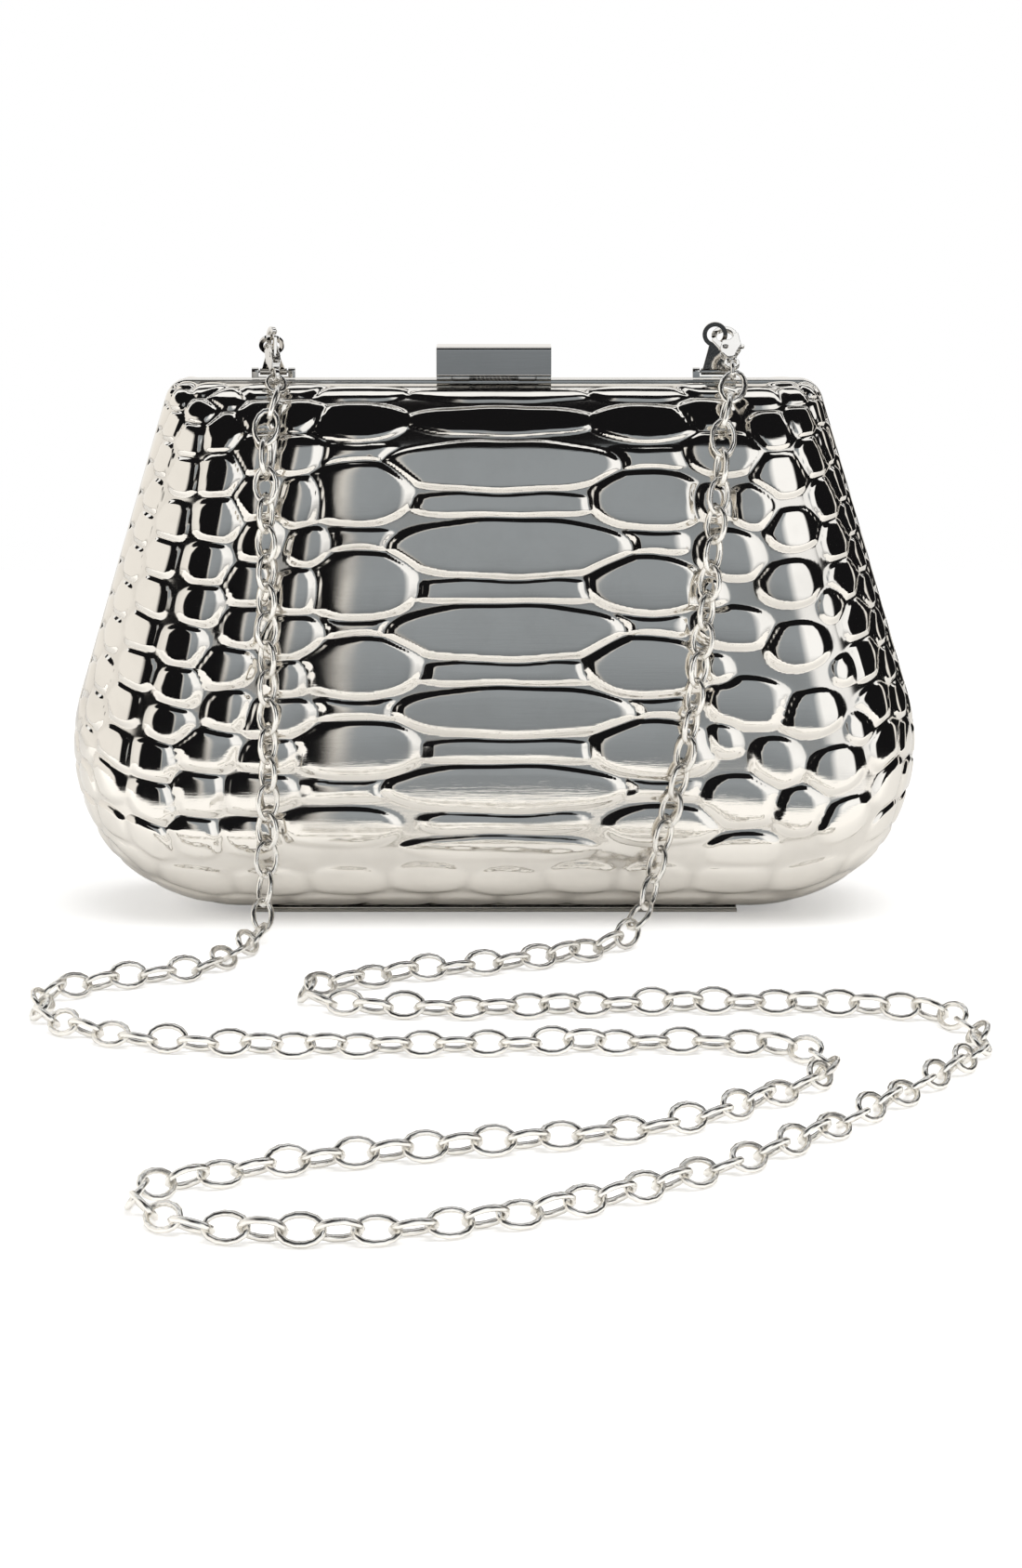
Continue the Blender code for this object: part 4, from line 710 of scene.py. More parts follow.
    def make_world(self) -> None:
        """White to the camera; to the metal a ring of soft boxes and dark gaps under a dark ceiling."""
        world = bpy.data.worlds.new("studio")
        bpy.context.scene.world = world
        world.use_nodes = True
        world.node_tree.nodes.clear()
        desk = NodeDesk(world.node_tree)
        parts = desk.split(desk.add("ShaderNodeTexCoord").outputs["Generated"])
        ahead = desk.math("MULTIPLY", parts["Y"], -1.0)
        azimuth = desk.math("MULTIPLY_ADD", desk.math("ARCTAN2", parts["X"], ahead), 0.5 / math.pi, 0.5)
        around = desk.ramp(azimuth, [(degrees / 360.0 + 0.5, tone) for degrees, tone in self.ring])
        level = desk.fit(parts["Z"], *self.ring_foot, self.foot_level, 1.0)
        dimmed = desk.add("ShaderNodeVectorMath", {0: around, "Scale": level}, operation="SCALE").outputs[0]
        over = desk.math("MULTIPLY", desk.math("ARCTAN2", parts["Z"], ahead), 1.0 / math.pi)
        above = desk.ramp(over, [(degrees / 180.0, tone) for degrees, tone in self.ceiling])
        high = desk.fit(parts["Z"], *self.ceiling_edge, kind="SMOOTHSTEP")
        path = desk.add("ShaderNodeLightPath").outputs
        plain, mirrored, seen = (
            desk.add("ShaderNodeBackground", {"Color": tone}).outputs[0]
            for tone in ((0.35, 0.35, 0.35, 1.0), desk.mix(high, dimmed, above), (1.0, 1.0, 1.0, 1.0))
        )
        metal = desk.add("ShaderNodeMixShader", {0: path["Is Glossy Ray"], 1: plain, 2: mirrored}).outputs[0]
        sky = desk.add("ShaderNodeMixShader", {0: path["Is Camera Ray"], 1: metal, 2: seen}).outputs[0]
        desk.add("ShaderNodeOutputWorld", {"Surface": sky})

    def build(self) -> None:
        """Makes the camera, floor, world and lamps."""
        bpy.context.scene.view_settings.view_transform = "Standard"
        self.make_camera()
        self.make_floor()
        self.make_world()
        for lamp in self.lamps:
            lamp.build(self.aim)


# ---- chain strap ----


@dataclass
class ChainStrap:
    """Interlinked oval links along the strap's route, as one cord."""

    finisher: Finisher
    link_length: float = 8.8 * MM
    link_width: float = 6.3 * MM
    wire: float = 1.25 * MM
    around: int = 14
    about: int = 6
    pitch: float = 6.2 * MM
    length: float = 1.082
    # Every link is rolled one way or the other, but the first and last few turn to hang in their rings
    roll: float = 45.0
    roll_scatter: float = 12.0
    end_links: int = 6
    seed: int = 11
    # Where the chain lies it sinks by sink, and where it hangs it moves back by nearer
    steps: int = 24
    rest_height: float = 3.2 * MM
    sink: float = 0.75 * MM
    sink_run: float = 6.0 * MM
    hang_height: float = 12.0 * MM
    hang_run: float = 10.0 * MM
    nearer: float = 0.7 * MM
    end_run: float = 10.0 * MM
    # Links less steep than this rest on the floor, unless they are above the loose height
    level_share: float = 0.3
    loose_height: float = 3.0 * MM
    # In millimetres: down from the left claw, over the floor at the rest height, and up to the right claw
    route: tuple[Triple, ...] = (
        (-48.0, -18.9, 111.9), (-48.3, -22.2, 104.5), (-48.4, -23.8, 95.0), (-48.6, -28.0, 30.0),
        (-49.2, -29.3, 13.5), (-50.0, -34.5, 4.8), (-52.0, -43.5, 3.2), (-61.0, -63.5, 3.2),
        (-78.0, -73.0, 3.2), (-88.6, -83.0, 3.2), (-88.3, -99.5, 3.2), (-76.0, -111.5, 3.2),
        (-55.0, -119.5, 3.2), (19.0, -118.8, 3.2), (45.0, -118.6, 3.2), (60.5, -125.5, 3.2),
        (62.3, -139.0, 3.2), (50.5, -154.0, 3.2), (33.0, -170.0, 3.2), (-40.0, -195.5, 3.2),
        (-58.5, -210.0, 3.2), (-51.5, -223.5, 3.2), (-28.0, -229.5, 3.2), (8.0, -218.5, 3.2),
        (44.0, -191.0, 3.2), (74.0, -154.0, 3.2), (93.8, -118.5, 3.2), (87.5, -98.0, 3.2),
        (58.0, -90.5, 3.2), (-27.5, -92.0, 3.2), (-37.5, -80.5, 3.2), (-22.0, -68.6, 3.2),
        (10.0, -54.8, 3.2), (27.5, -41.0, 3.6), (33.2, -31.5, 10.0), (36.5, -28.6, 22.0),
        (41.6, -27.3, 42.0), (47.6, -24.0, 92.0), (48.6, -22.2, 104.5), (49.2, -18.9, 111.9),
    )

    def make_link(self) -> bpy.types.Object:
        """Makes one oval link lying flat along X."""
        link = add_mesh(
            bpy.ops.mesh.primitive_torus_add, major_segments=self.around, minor_segments=self.about,
            major_radius=(self.link_width - self.wire) / 2, minor_radius=self.wire / 2,
        )
        stretch = (self.link_length - self.link_width) / 2
        for vertex in link.data.vertices:
            vertex.co.x += stretch * vertex.co.x / math.hypot(vertex.co.x, vertex.co.y)
        return link

    def centre_line(self, starts: Sequence[Vector], eyes: Sequence[Vector]) -> np.ndarray:
        """A smooth line through the route, as in the CAD.

        Args:
            starts: the two places where the first and last link lie.
            eyes: the two claws' eyes.

        Returns:
            Closely spaced points from the left claw to the right one.
        """
        knots = [eyes[0], starts[0], *(Vector(place) * MM for place in self.route), starts[1], eyes[1]]
        fine: list[Vector] = []
        for a, b, c, d in zip(knots, knots[1:], knots[2:], knots[3:]):
            t0, t1 = 0.0, math.sqrt((b - a).length)
            t2 = t1 + math.sqrt((c - b).length)
            t3 = t2 + math.sqrt((d - c).length)
            for i in range(self.steps):
                t = t1 + (t2 - t1) * i / self.steps
                ab = a.lerp(b, (t - t0) / (t1 - t0))
                bc = b.lerp(c, (t - t1) / (t2 - t1))
                cd = c.lerp(d, (t - t2) / (t3 - t2))
                abc = ab.lerp(bc, (t - t0) / (t2 - t0))
                bcd = bc.lerp(cd, (t - t1) / (t3 - t1))
                fine.append(abc.lerp(bcd, (t - t1) / (t2 - t1)))
        line = np.array([[*p] for p in (*fine, knots[-2])])
        line[:, 2] = np.maximum(line[:, 2], self.rest_height)
        lies = 1.0 - np.clip((line[:, 2] - self.rest_height) / self.sink_run, 0.0, 1.0)
        hangs = np.clip((line[:, 2] - self.hang_height) / self.hang_run, 0.0, 1.0)
        gone = lengths_along(line)
        hangs *= np.clip(np.minimum(gone, gone[-1] - gone) / self.end_run, 0.0, 1.0)
        line[:, 2] -= self.sink * lies
        line[:, 1] += self.nearer * hangs
        return line

    def build(self, starts: Sequence[Vector], eyes: Sequence[Vector]) -> tuple[bpy.types.Object, np.ndarray]:
        """Makes the chain.

        Args:
            starts: the places of the first and last link.
            eyes: the two claws' eyes.

        Returns:
            The chain and its centre line.
        """
        line = self.centre_line(starts, eyes)
        along = lengths_along(line)
        count = round(along[-1] / self.pitch) + 1
        even = np.linspace(0, along[-1], count)
        places = np.stack([np.interp(even, along, line[:, k]) for k in range(3)], axis=-1)
        template = self.make_link()
        scatter = random.Random(self.seed)
        half = (self.link_width - self.wire) / 2
        links = []
        for i, (place, way) in enumerate(zip(places, np.gradient(places, axis=0))):
            tangent = Vector(way).normalized()
            steep = abs(tangent.z)
            out = Vector((0.0, -steep, 1.0 - steep))
            out = (out - tangent * out.dot(tangent)).normalized()
            side = out.cross(tangent)
            first, last = (max(0.0, 1 - steps / self.end_links) for steps in (i, count - 1 - i))
            angle = self.roll * ((1 if i % 2 else -1) - first + last * (1 if count % 2 else -1))
            angle += scatter.uniform(-self.roll_scatter, self.roll_scatter) * (1 - first) * (1 - last)
            turn = math.radians(angle)
            across = side * math.cos(turn) + out * math.sin(turn)
            normal = tangent.cross(across)
            spot = Vector(place)
            lying = half * abs(math.sin(turn)) + self.wire / 2
            if steep < self.level_share:
                spot.z = max(spot.z, lying) if spot.z > self.loose_height else lying
            pose = Matrix([[tangent[k], across[k], normal[k], spot[k]] for k in range(3)] + [[0, 0, 0, 1]])
            link = template.copy()
            link.data = template.data.copy()
            link.data.transform(pose)
            lowest = min(vertex.co.z for vertex in link.data.vertices)
            link.data.transform(Matrix.Translation((0.0, 0.0, max(0.0, -lowest))))
            bpy.context.scene.collection.objects.link(link)
            links.append(link)
        bpy.data.objects.remove(template, do_unlink=True)
        pick_only(links[0])
        for link in links:
            link.select_set(True)
        bpy.ops.object.join()
        chain = bpy.context.object
        self.finisher.hand_over(
            chain, "strap_of_oval_links", Body.FRONT, Slot.CHAIN, "chain_strap", LINK_ANGLE
        )
        LOG.info("chain: %d links on a %.2f mm pitch", count, along[-1] / (count - 1) / MM)
        return chain, line


# ---- embossed halves ----

# Scale pattern on the unrolled shell, as in the CAD. All of it is in thousandths of the shell's half girth
# and half rise. A scale is its centre across and up, its half width and half height, and its relief.
SCALES = (
    # centre scales and the saddles between them
    (21, 858, 247, 46, 800), (21, 739, 252, 57, 900), (21, 593, 289, 80, 1000), (21, 475, 182, 33, 500),
    (38, 341, 279, 92, 1000), (30, 211, 177, 33, 500), (27, 83, 257, 88, 1000), (35, -42, 166, 33, 500),
    (43, -162, 244, 79, 1000), (32, -284, 155, 33, 500), (21, -397, 236, 73, 1000),
    (21, -499, 139, 29, 450), (11, -578, 193, 43, 700),
    # first columns on either side
    (386, 868, 129, 49, 800), (391, 735, 137, 69, 1000), (386, 614, 86, 33, 500), (375, 488, 129, 85, 1000),
    (364, 359, 80, 33, 500), (347, 228, 122, 83, 1000), (338, 103, 80, 32, 500), (328, -23, 120, 86, 1000),
    (322, -152, 80, 32, 500), (322, -277, 114, 83, 1000), (327, -399, 75, 30, 450),
    (332, -508, 102, 57, 900), (-364, 868, 129, 49, 800), (-359, 739, 134, 70, 1000),
    (-343, 626, 91, 33, 500), (-330, 506, 124, 88, 1000), (-315, 367, 75, 33, 500),
    (-298, 227, 114, 95, 1000), (-289, 100, 80, 32, 500), (-286, -26, 122, 86, 1000),
    (-281, -154, 84, 32, 500), (-277, -280, 120, 82, 1000), (-289, -402, 84, 32, 450),
    (-311, -514, 118, 57, 900),
    # smaller scales on the right
    (568, 897, 71, 52, 800), (557, 766, 71, 60, 900), (579, 631, 90, 66, 1000), (525, 479, 47, 55, 850),
    (622, 465, 54, 62, 900), (547, 321, 73, 72, 1000), (487, 201, 36, 43, 700), (525, 100, 80, 63, 1000),
    (475, -29, 34, 43, 700), (532, -135, 81, 75, 1000), (465, -250, 34, 49, 700), (566, -316, 49, 72, 950),
    (489, -433, 73, 72, 950), (600, -468, 51, 66, 900), (493, -588, 69, 55, 800), (707, 839, 60, 57, 800),
    (714, 703, 60, 63, 900), (710, 554, 69, 65, 950), (710, 382, 64, 62, 950), (671, 221, 69, 67, 1000),
    (658, 29, 66, 69, 1000), (656, -181, 64, 67, 950), (682, -367, 56, 66, 900), (697, -531, 56, 63, 850),
    (752, -80, 36, 47, 800), (757, 129, 36, 52, 800), (752, -264, 36, 52, 800),
    # smaller scales on the left
    (-514, 890, 64, 52, 800), (-504, 760, 64, 60, 900), (-493, 628, 60, 60, 900), (-465, 482, 58, 70, 1000),
    (-431, 347, 47, 57, 900), (-444, 207, 54, 66, 950), (-439, 66, 64, 63, 1000), (-437, -60, 47, 53, 900),
    (-442, -181, 73, 60, 1000), (-448, -300, 56, 52, 900), (-465, -413, 77, 57, 950),
    (-482, -545, 64, 57, 850), (-617, 890, 58, 55, 800), (-607, 760, 58, 63, 900), (-596, 628, 56, 65, 950),
    (-572, 494, 54, 66, 1000), (-544, 362, 47, 63, 950), (-553, 230, 53, 63, 950), (-547, 100, 48, 60, 900),
    (-570, -29, 57, 60, 1000), (-547, -161, 47, 60, 900), (-574, -284, 62, 62, 1000),
    (-579, -419, 54, 63, 900), (-587, -551, 54, 60, 850), (-712, 838, 54, 60, 850),
    (-692, 697, 58, 65, 900), (-673, 557, 56, 65, 950), (-656, 422, 57, 65, 1000), (-658, 287, 53, 62, 950),
    (-650, 155, 50, 60, 900), (-671, 26, 50, 60, 950), (-660, -100, 48, 57, 900), (-662, -218, 47, 55, 900),
    (-682, -339, 50, 59, 900), (-675, -465, 50, 60, 900), (-684, -588, 50, 57, 800),
)
# Pebbled columns at the sides: centre, pitch and start up the shell, half width and half height
PEBBLE_COLUMNS = (
    (-775, 125, 30, 49, 60), (-862, 122, 90, 45, 58), (-945, 120, 20, 41, 57), (812, 135, 50, 52, 63),
    (895, 128, 110, 45, 60), (968, 122, 40, 38, 58),
)
# Pebbled rows along the bottom: height, pitch and start across, half width and half height
PEBBLE_ROWS = (
    (-705, 155, 20, 77, 62), (-835, 150, 90, 74, 60), (-955, 145, 30, 70, 56),
)


class RimOutline:
    """Half of the trapezoid with round corners that the big pieces follow, moved in by an inset."""

    bag_width: float = 185.8 * MM
    top_width: float = 140.2 * MM
    top_corner: float = 5.0 * MM
    bottom_corner: float = 37.0 * MM
    low_steps: int = 40
    high_steps: int = 16
    edge_steps: int = 400

    def __init__(self, inset: float) -> None:
        """Args:
            inset: how far inside the frame's edge the outline runs.
        """
        self.low_centre = (self.bag_width / 2 - self.bottom_corner, FRAME_FOOT + self.bottom_corner)
        across = self.top_width / 2 - self.low_centre[0]
        up = FRAME_TOP - self.low_centre[1]
        self.lean = math.atan2(up, across) - math.acos(self.bottom_corner / math.hypot(across, up))
        draw_in = self.top_corner * (1 - math.sin(self.lean)) / math.cos(self.lean)
        self.high_centre = (self.top_width / 2 - draw_in, FRAME_TOP - self.top_corner)
        self.low_radius = self.bottom_corner - inset
        self.high_radius = self.top_corner - inset

    def loop(self) -> list[tuple[float, float]]:
        """The whole outline's points, anticlockwise from the middle of the bottom."""
        right = corner_points(self.low_centre, self.low_radius, -math.pi / 2, self.lean, self.low_steps)
        right += corner_points(self.high_centre, self.high_radius, self.lean, math.pi / 2, self.high_steps)
        return right + [(-x, z) for x, z in reversed(right)]

    def edges(self) -> tuple[list, list, list, list]:
        """The bottom, right, top and left edges, each parted from the next half way round a corner."""
        steps = self.edge_steps
        low_middle = (self.lean - math.pi / 2) / 2
        high_middle = (self.lean + math.pi / 2) / 2
        low, high = self.low_centre, self.high_centre
        foot = corner_points(low, self.low_radius, -math.pi / 2, low_middle, steps)
        side = corner_points(low, self.low_radius, low_middle, self.lean, steps)
        side += corner_points(high, self.high_radius, self.lean, high_middle, steps)
        head = corner_points(high, self.high_radius, high_middle, math.pi / 2, steps)
        bottom = [(-x, z) for x, z in reversed(foot)] + foot
        top = [(-x, z) for x, z in head] + list(reversed(head))
        return bottom, side, top, [(-x, z) for x, z in side]


def smooth_step(x: np.ndarray) -> np.ndarray:
    """A smooth ramp from 0 at 0 to 1 at 1."""
    x = np.clip(x, 0.0, 1.0)
    return x * x * (3.0 - 2.0 * x)


@dataclass
class ScaleField:
    """The relief of the snakeskin scales over a shell's unrolled face."""

    half_girth: float
    half_rise: float
    height: float = 0.75 * MM
    small_height: float = 0.15 * MM
    edge_width: float = 1.0 * MM
    small_edge_width: float = 0.2 * MM
    wall_power: float = 1.3
    roll: float = 0.12 * MM
    roll_run: float = 2.6 * MM
    spread_share: float = 1.03
    small_spread_share: float = 0.12
    fullness: float = 2.2
    saddle_fullness: float = 4.0
    saddle_spread_share: float = 1.2
    saddle_relief: float = 0.5
    saddle_boost: float = 1.5
    crown: float = 0.03 * MM
    small_crown: float = 0.3 * MM
    small_crown_up: float = 0.08 * MM
    small_width: float = 14.0 * MM
    small_range: float = 3.0 * MM
    tip_run: float = 5.0 * MM
    tip_run_share: float = 0.6
    tip_drop: float = 0.5 * MM
    wander: float = 0.12 * MM
    wander_length: float = 14.0 * MM
    # How much each wander is bent, over how much longer a run, and how much slower the second one is
    drift_bend: float = 2.1
    drift_run: float = 3.1
    lift_bend: float = 1.7
    lift_run: float = 2.3
    lift_pace: float = 0.83
    rim_fade: float = 3.5 * MM
    bottom_fade: float = 26.0 * MM
    bottom_share: float = 0.3
    pebble_share: float = 0.8
    pebble_scatter: float = 0.012
    pebble_seed: int = 5
    row_reach: float = 0.72
    # Keeps the middle of a scale from being divided by nothing
    least: float = 1e-6

    def sites(self) -> np.ndarray:
        """Centre, half width, half height and relief of every scale.

        Returns:
            One row for each scale, in metres.
        """
        scatter = np.random.default_rng(self.pebble_seed)
        shares = [[value / 1000 for value in scale] for scale in SCALES]
        for across, pitch, start, width, height in np.array(PEBBLE_COLUMNS) / 1000:
            count = round(1 / pitch)
            for row in range(-count, count + 1):
                shares.append((across, start + row * pitch, width, height, self.pebble_share))
        for rise, pitch, start, width, height in np.array(PEBBLE_ROWS) / 1000:
            count = round(self.row_reach / pitch)
            for column in range(-count, count + 1):
                shares.append((start + column * pitch, rise, width, height, self.pebble_share))
        sites = np.array(shares)
        loose = np.arange(len(sites)) >= len(SCALES)
        sites[loose, :2] += scatter.uniform(-self.pebble_scatter, self.pebble_scatter, (loose.sum(), 2))
        return sites * np.array([self.half_girth, self.half_rise, self.half_girth, self.half_rise, 1.0])

    def raise_points(self, across: np.ndarray, rise: np.ndarray) -> tuple[np.ndarray, np.ndarray]:
        """Relief at points of the unrolled face.

        Args:
            across: their places across.
            rise: their places up.

        Returns:
            The heights, and a mask that is 1 in the bottom of a groove.
        """
        sites = self.sites()
        wave = 2 * math.pi / self.wander_length
        drift = np.sin(wave * rise + self.drift_bend * np.sin(wave * across / self.drift_run))
        lift = np.sin(wave * across * self.lift_pace + self.lift_bend * np.sin(wave * rise / self.lift_run))
        away = (across + self.wander * drift)[:, None] - sites[:, 0]
        up = (rise + self.wander * lift)[:, None] - sites[:, 1]
        small = smooth_step((self.small_width - sites[:, 2]) / self.small_range)
        saddle = sites[:, 4] <= self.saddle_relief
        spread = self.spread_share + self.small_spread_share * small
        spread = np.where(saddle, self.saddle_spread_share, spread)
        wide, high = sites[:, 2] * spread, sites[:, 3] * spread
        full = np.where(saddle, self.saddle_fullness, self.fullness)
        far, tall = (np.maximum(np.abs(off) / size, self.least) for off, size in ((away, wide), (up, high)))
        gap = (far**full + tall**full) ** (1 / full)
        steep = np.hypot(far ** (full - 1) / wide, tall ** (full - 1) / high) * gap ** (1 - full)
        # The ovals come first; a saddle fills what they leave of its own shape
        order = np.argsort(np.where(saddle, np.inf, gap), axis=1)[:, :2]
        first, second = np.take_along_axis(gap, order, axis=1).T
        own_slope, next_slope = np.take_along_axis(steep, order, axis=1).T
        inwards = (1.0 - first) / own_slope
        to_neighbour = (second - first) / (own_slope + next_slope)
        bar = np.argmin(np.where(saddle, gap, np.inf), axis=1)
        points = np.arange(len(across))
        on_bar = inwards < 0.0
        in_bar = (1.0 - gap[points, bar]) / steep[points, bar]
        owner = np.where(on_bar, bar, order[:, 0])
        distance = np.where(on_bar, np.minimum(in_bar, -inwards), np.minimum(inwards, to_neighbour))
        share = small[owner]
        wall = np.clip(distance / (self.edge_width + self.small_edge_width * share), 0.0, 1.0)
        pillow = 1.0 - (1.0 - wall) ** self.wall_power
        top = self.height + self.small_height * share
        top -= (self.crown + self.small_crown * share) * np.minimum(far[points, owner], 1.0) ** 2
        top -= (self.crown + self.small_crown_up * share) * np.minimum(tall[points, owner], 1.0) ** 2
        top -= self.roll * np.clip(1.0 - distance / self.roll_run, 0.0, 1.0) ** 2
        own_wide = wide[owner]
        run = np.minimum(self.tip_run, self.tip_run_share * own_wide)
        beyond = away[points, owner] - own_wide + run
        top -= self.tip_drop * np.clip(beyond / run, 0.0, 1.0) ** 2
        edge = np.minimum(self.half_girth - np.abs(across), self.half_rise - np.abs(rise))
        low = smooth_step((rise + self.half_rise) / self.bottom_fade)
        soft = self.bottom_share + (1 - self.bottom_share) * low
        fade = smooth_step(edge / self.rim_fade) * soft
        relief = sites[owner, 4] * np.where(on_bar, self.saddle_boost, 1.0)
        return pillow * top * relief * fade, (1.0 - pillow) * fade


class DomeSkin:
    """A pillow-shaped skin over the frame's outline, as a grid."""

    # How much of an embossed skin, from its foot, has cells twice as tall
    coarse_share: float = 0.2
    least: float = 1e-12

    def __init__(
        self, inset: float, base: float, depth: float, rounding: float, cells: tuple[int, int],
        embossed: bool = False,
    ) -> None:
        """Args:
            inset: how far inside the frame's edge it starts.
            base: where it starts in front of the seam.
            depth: how far it rises from there.
            rounding: how far in its edge is round.
            cells: how many cells it has across and up.
            embossed: whether it has the scales.
        """
        outline = RimOutline(inset)
        bottom, right, top, left = outline.edges()
        half_width = (outline.low_centre[0] + outline.high_centre[0]) / 2
        half_width += (outline.low_radius + outline.high_radius) / 2
        across, x_share, x_bulge = self.unrolled(half_width, rounding, cells[0])
        coarse = self.coarse_share if embossed else 0.0
        rise, z_share, z_bulge = self.unrolled(FRAME_HEIGHT / 2 - inset, rounding, cells[1], coarse)
        u, v = (x_share + 1) / 2, (z_share + 1) / 2
        ends = [self.along_edge(edge, np.array([0.0, 1.0])) for edge in (bottom, top)]
        low, high = self.along_edge(bottom, u), self.along_edge(top, u)
        west, east = self.along_edge(left, v), self.along_edge(right, v)
        u, v = u[None, :, None], v[:, None, None]
        grid = (1 - v) * low[None] + v * high[None] + (1 - u) * west[:, None] + u * east[:, None]
        grid -= (1 - v) * ((1 - u) * ends[0][0] + u * ends[0][1])
        grid -= v * ((1 - u) * ends[1][0] + u * ends[1][1])
        gu, gv = x_bulge[None, :], z_bulge[:, None]
        swell = gu * gv / np.sqrt(np.maximum(gu**2 + gv**2 - gu**2 * gv**2, self.least))
        swell = swell * (1.0 - TOP_SLIMMING_SHARE * v[..., 0])
        points = np.stack([grid[..., 0], -(base + depth * swell), grid[..., 1]], axis=-1)
        self.grooves = np.zeros(points.shape[:2])
        if embossed:
            field = ScaleField(abs(across[0]), abs(rise[0]))
            raised, grooves = field.raise_points(*(g.ravel() for g in np.meshgrid(across, rise)))
            points = points + self.normals(points) * raised.reshape(points.shape[:2])[..., None]
            self.grooves = grooves.reshape(points.shape[:2])
        self.points = points

    @staticmethod
    def along_edge(edge: Outline, shares: np.ndarray) -> np.ndarray:
        """Places at given shares of an edge's length."""
        line = np.array(edge)
        steps = lengths_along(line)
        return np.stack([np.interp(shares * steps[-1], steps, line[:, k]) for k in (0, 1)], axis=-1)

    @staticmethod
    def unrolled(
        half: float, rounding: float, cells: int, coarse_share: float = 0.0
    ) -> tuple[np.ndarray, np.ndarray, np.ndarray]:
        """Spreads grid lines over the skin.

        Args:
            half: the half size of the flat outline.
            rounding: how far in the edge is round.
            cells: how many cells there are.
            coarse_share: how much of the length, from its start, has cells twice as long.

        Returns:
            Arc lengths from the middle, their shares of the half size, and the bulge at each.
        """
        flat = half - rounding
        reach = flat + rounding * math.pi / 2
        turn_over = coarse_share / (2 - coarse_share)
        even = np.linspace(0, 1, cells + 1)
        arc = np.interp(even, (0, turn_over, 1), (-1, 2 * coarse_share - 1, 1)) * reach
        angle = np.maximum(np.abs(arc) - flat, 0.0) / rounding
        place = np.sign(arc) * (np.minimum(np.abs(arc), flat) + rounding * np.sin(angle))
        return arc, place / half, np.abs(np.cos(np.minimum(angle, math.pi / 2)))

    def normals(self, points: np.ndarray) -> np.ndarray:
        """Unit normals pointing out of the front."""
        normal = np.cross(np.gradient(points, axis=1), np.gradient(points, axis=0))
        return normal / np.maximum(np.linalg.norm(normal, axis=-1, keepdims=True), self.least)

    def index(self) -> np.ndarray:
        """Numbers of the grid's points."""
        rows, columns = self.points.shape[:2]
        return np.arange(rows * columns).reshape(rows, columns)

    def rim(self) -> list[int]:
        """Numbers of the edge points, anticlockwise from the bottom left as seen from the front."""
        index = self.index()
        return np.concatenate([index[0, :-1], index[:-1, -1], index[-1, :0:-1], index[:0:-1, 0]]).tolist()

    def faces(self) -> list[tuple[int, ...]]:
        """The grid's faces, turned outwards."""
        index = self.index()
        corners = (index[:-1, :-1], index[:-1, 1:], index[1:, 1:], index[1:, :-1])
        return [tuple(face) for face in np.stack([c.ravel() for c in corners], axis=-1).tolist()]


def zip_rims(outer: Sequence[int], inner: Sequence[int]) -> list[tuple[int, int, int]]:
    """Closes the gap between two rims of different counts that start at the same corner.

    Args:
        outer: point numbers of the outer rim.
        inner: point numbers of the inner rim.

    Returns:
        The triangles between them.
    """
    faces = []
    i = j = 0
    while i < len(outer) or j < len(inner):
        a, b = outer[i % len(outer)], inner[j % len(inner)]
        if j == len(inner) or (i < len(outer) and i * len(inner) <= j * len(outer)):
            faces.append((a, b, outer[(i + 1) % len(outer)]))
            i += 1
        else:
            faces.append((a, b, inner[(j + 1) % len(inner)]))
            j += 1
    return faces


def hollow_dome(outer: DomeSkin, inner: DomeSkin, side: int) -> bpy.types.Object:
    """Makes a wall between two skins, closed by a flat rim.

    Args:
        outer: its outer skin.
        inner: its inner skin.
        side: 1 for the front half and -1 for the back half.

    Returns:
        The piece, with the outer skin's grooves as a point attribute.
    """
    shift = outer.grooves.size
    faces = outer.faces() + [tuple(i + shift for i in reversed(face)) for face in inner.faces()]
    faces += zip_rims(outer.rim(), [i + shift for i in inner.rim()])
    points = np.concatenate([outer.points.reshape(-1, 3), inner.points.reshape(-1, 3)])
    points = points * np.array([1.0, side, 1.0])
    if side < 0:
        faces = [tuple(reversed(face)) for face in faces]
    mesh = bpy.data.meshes.new("dome")
    mesh.from_pydata(points.tolist(), [], faces)
    grooves = np.concatenate([outer.grooves.ravel(), inner.grooves.ravel()]).astype(np.float32)
    mesh.attributes.new("groove", "FLOAT", "POINT").data.foreach_set("value", grooves)
    piece = bpy.data.objects.new("dome", mesh)
    bpy.context.scene.collection.objects.link(piece)
    return piece


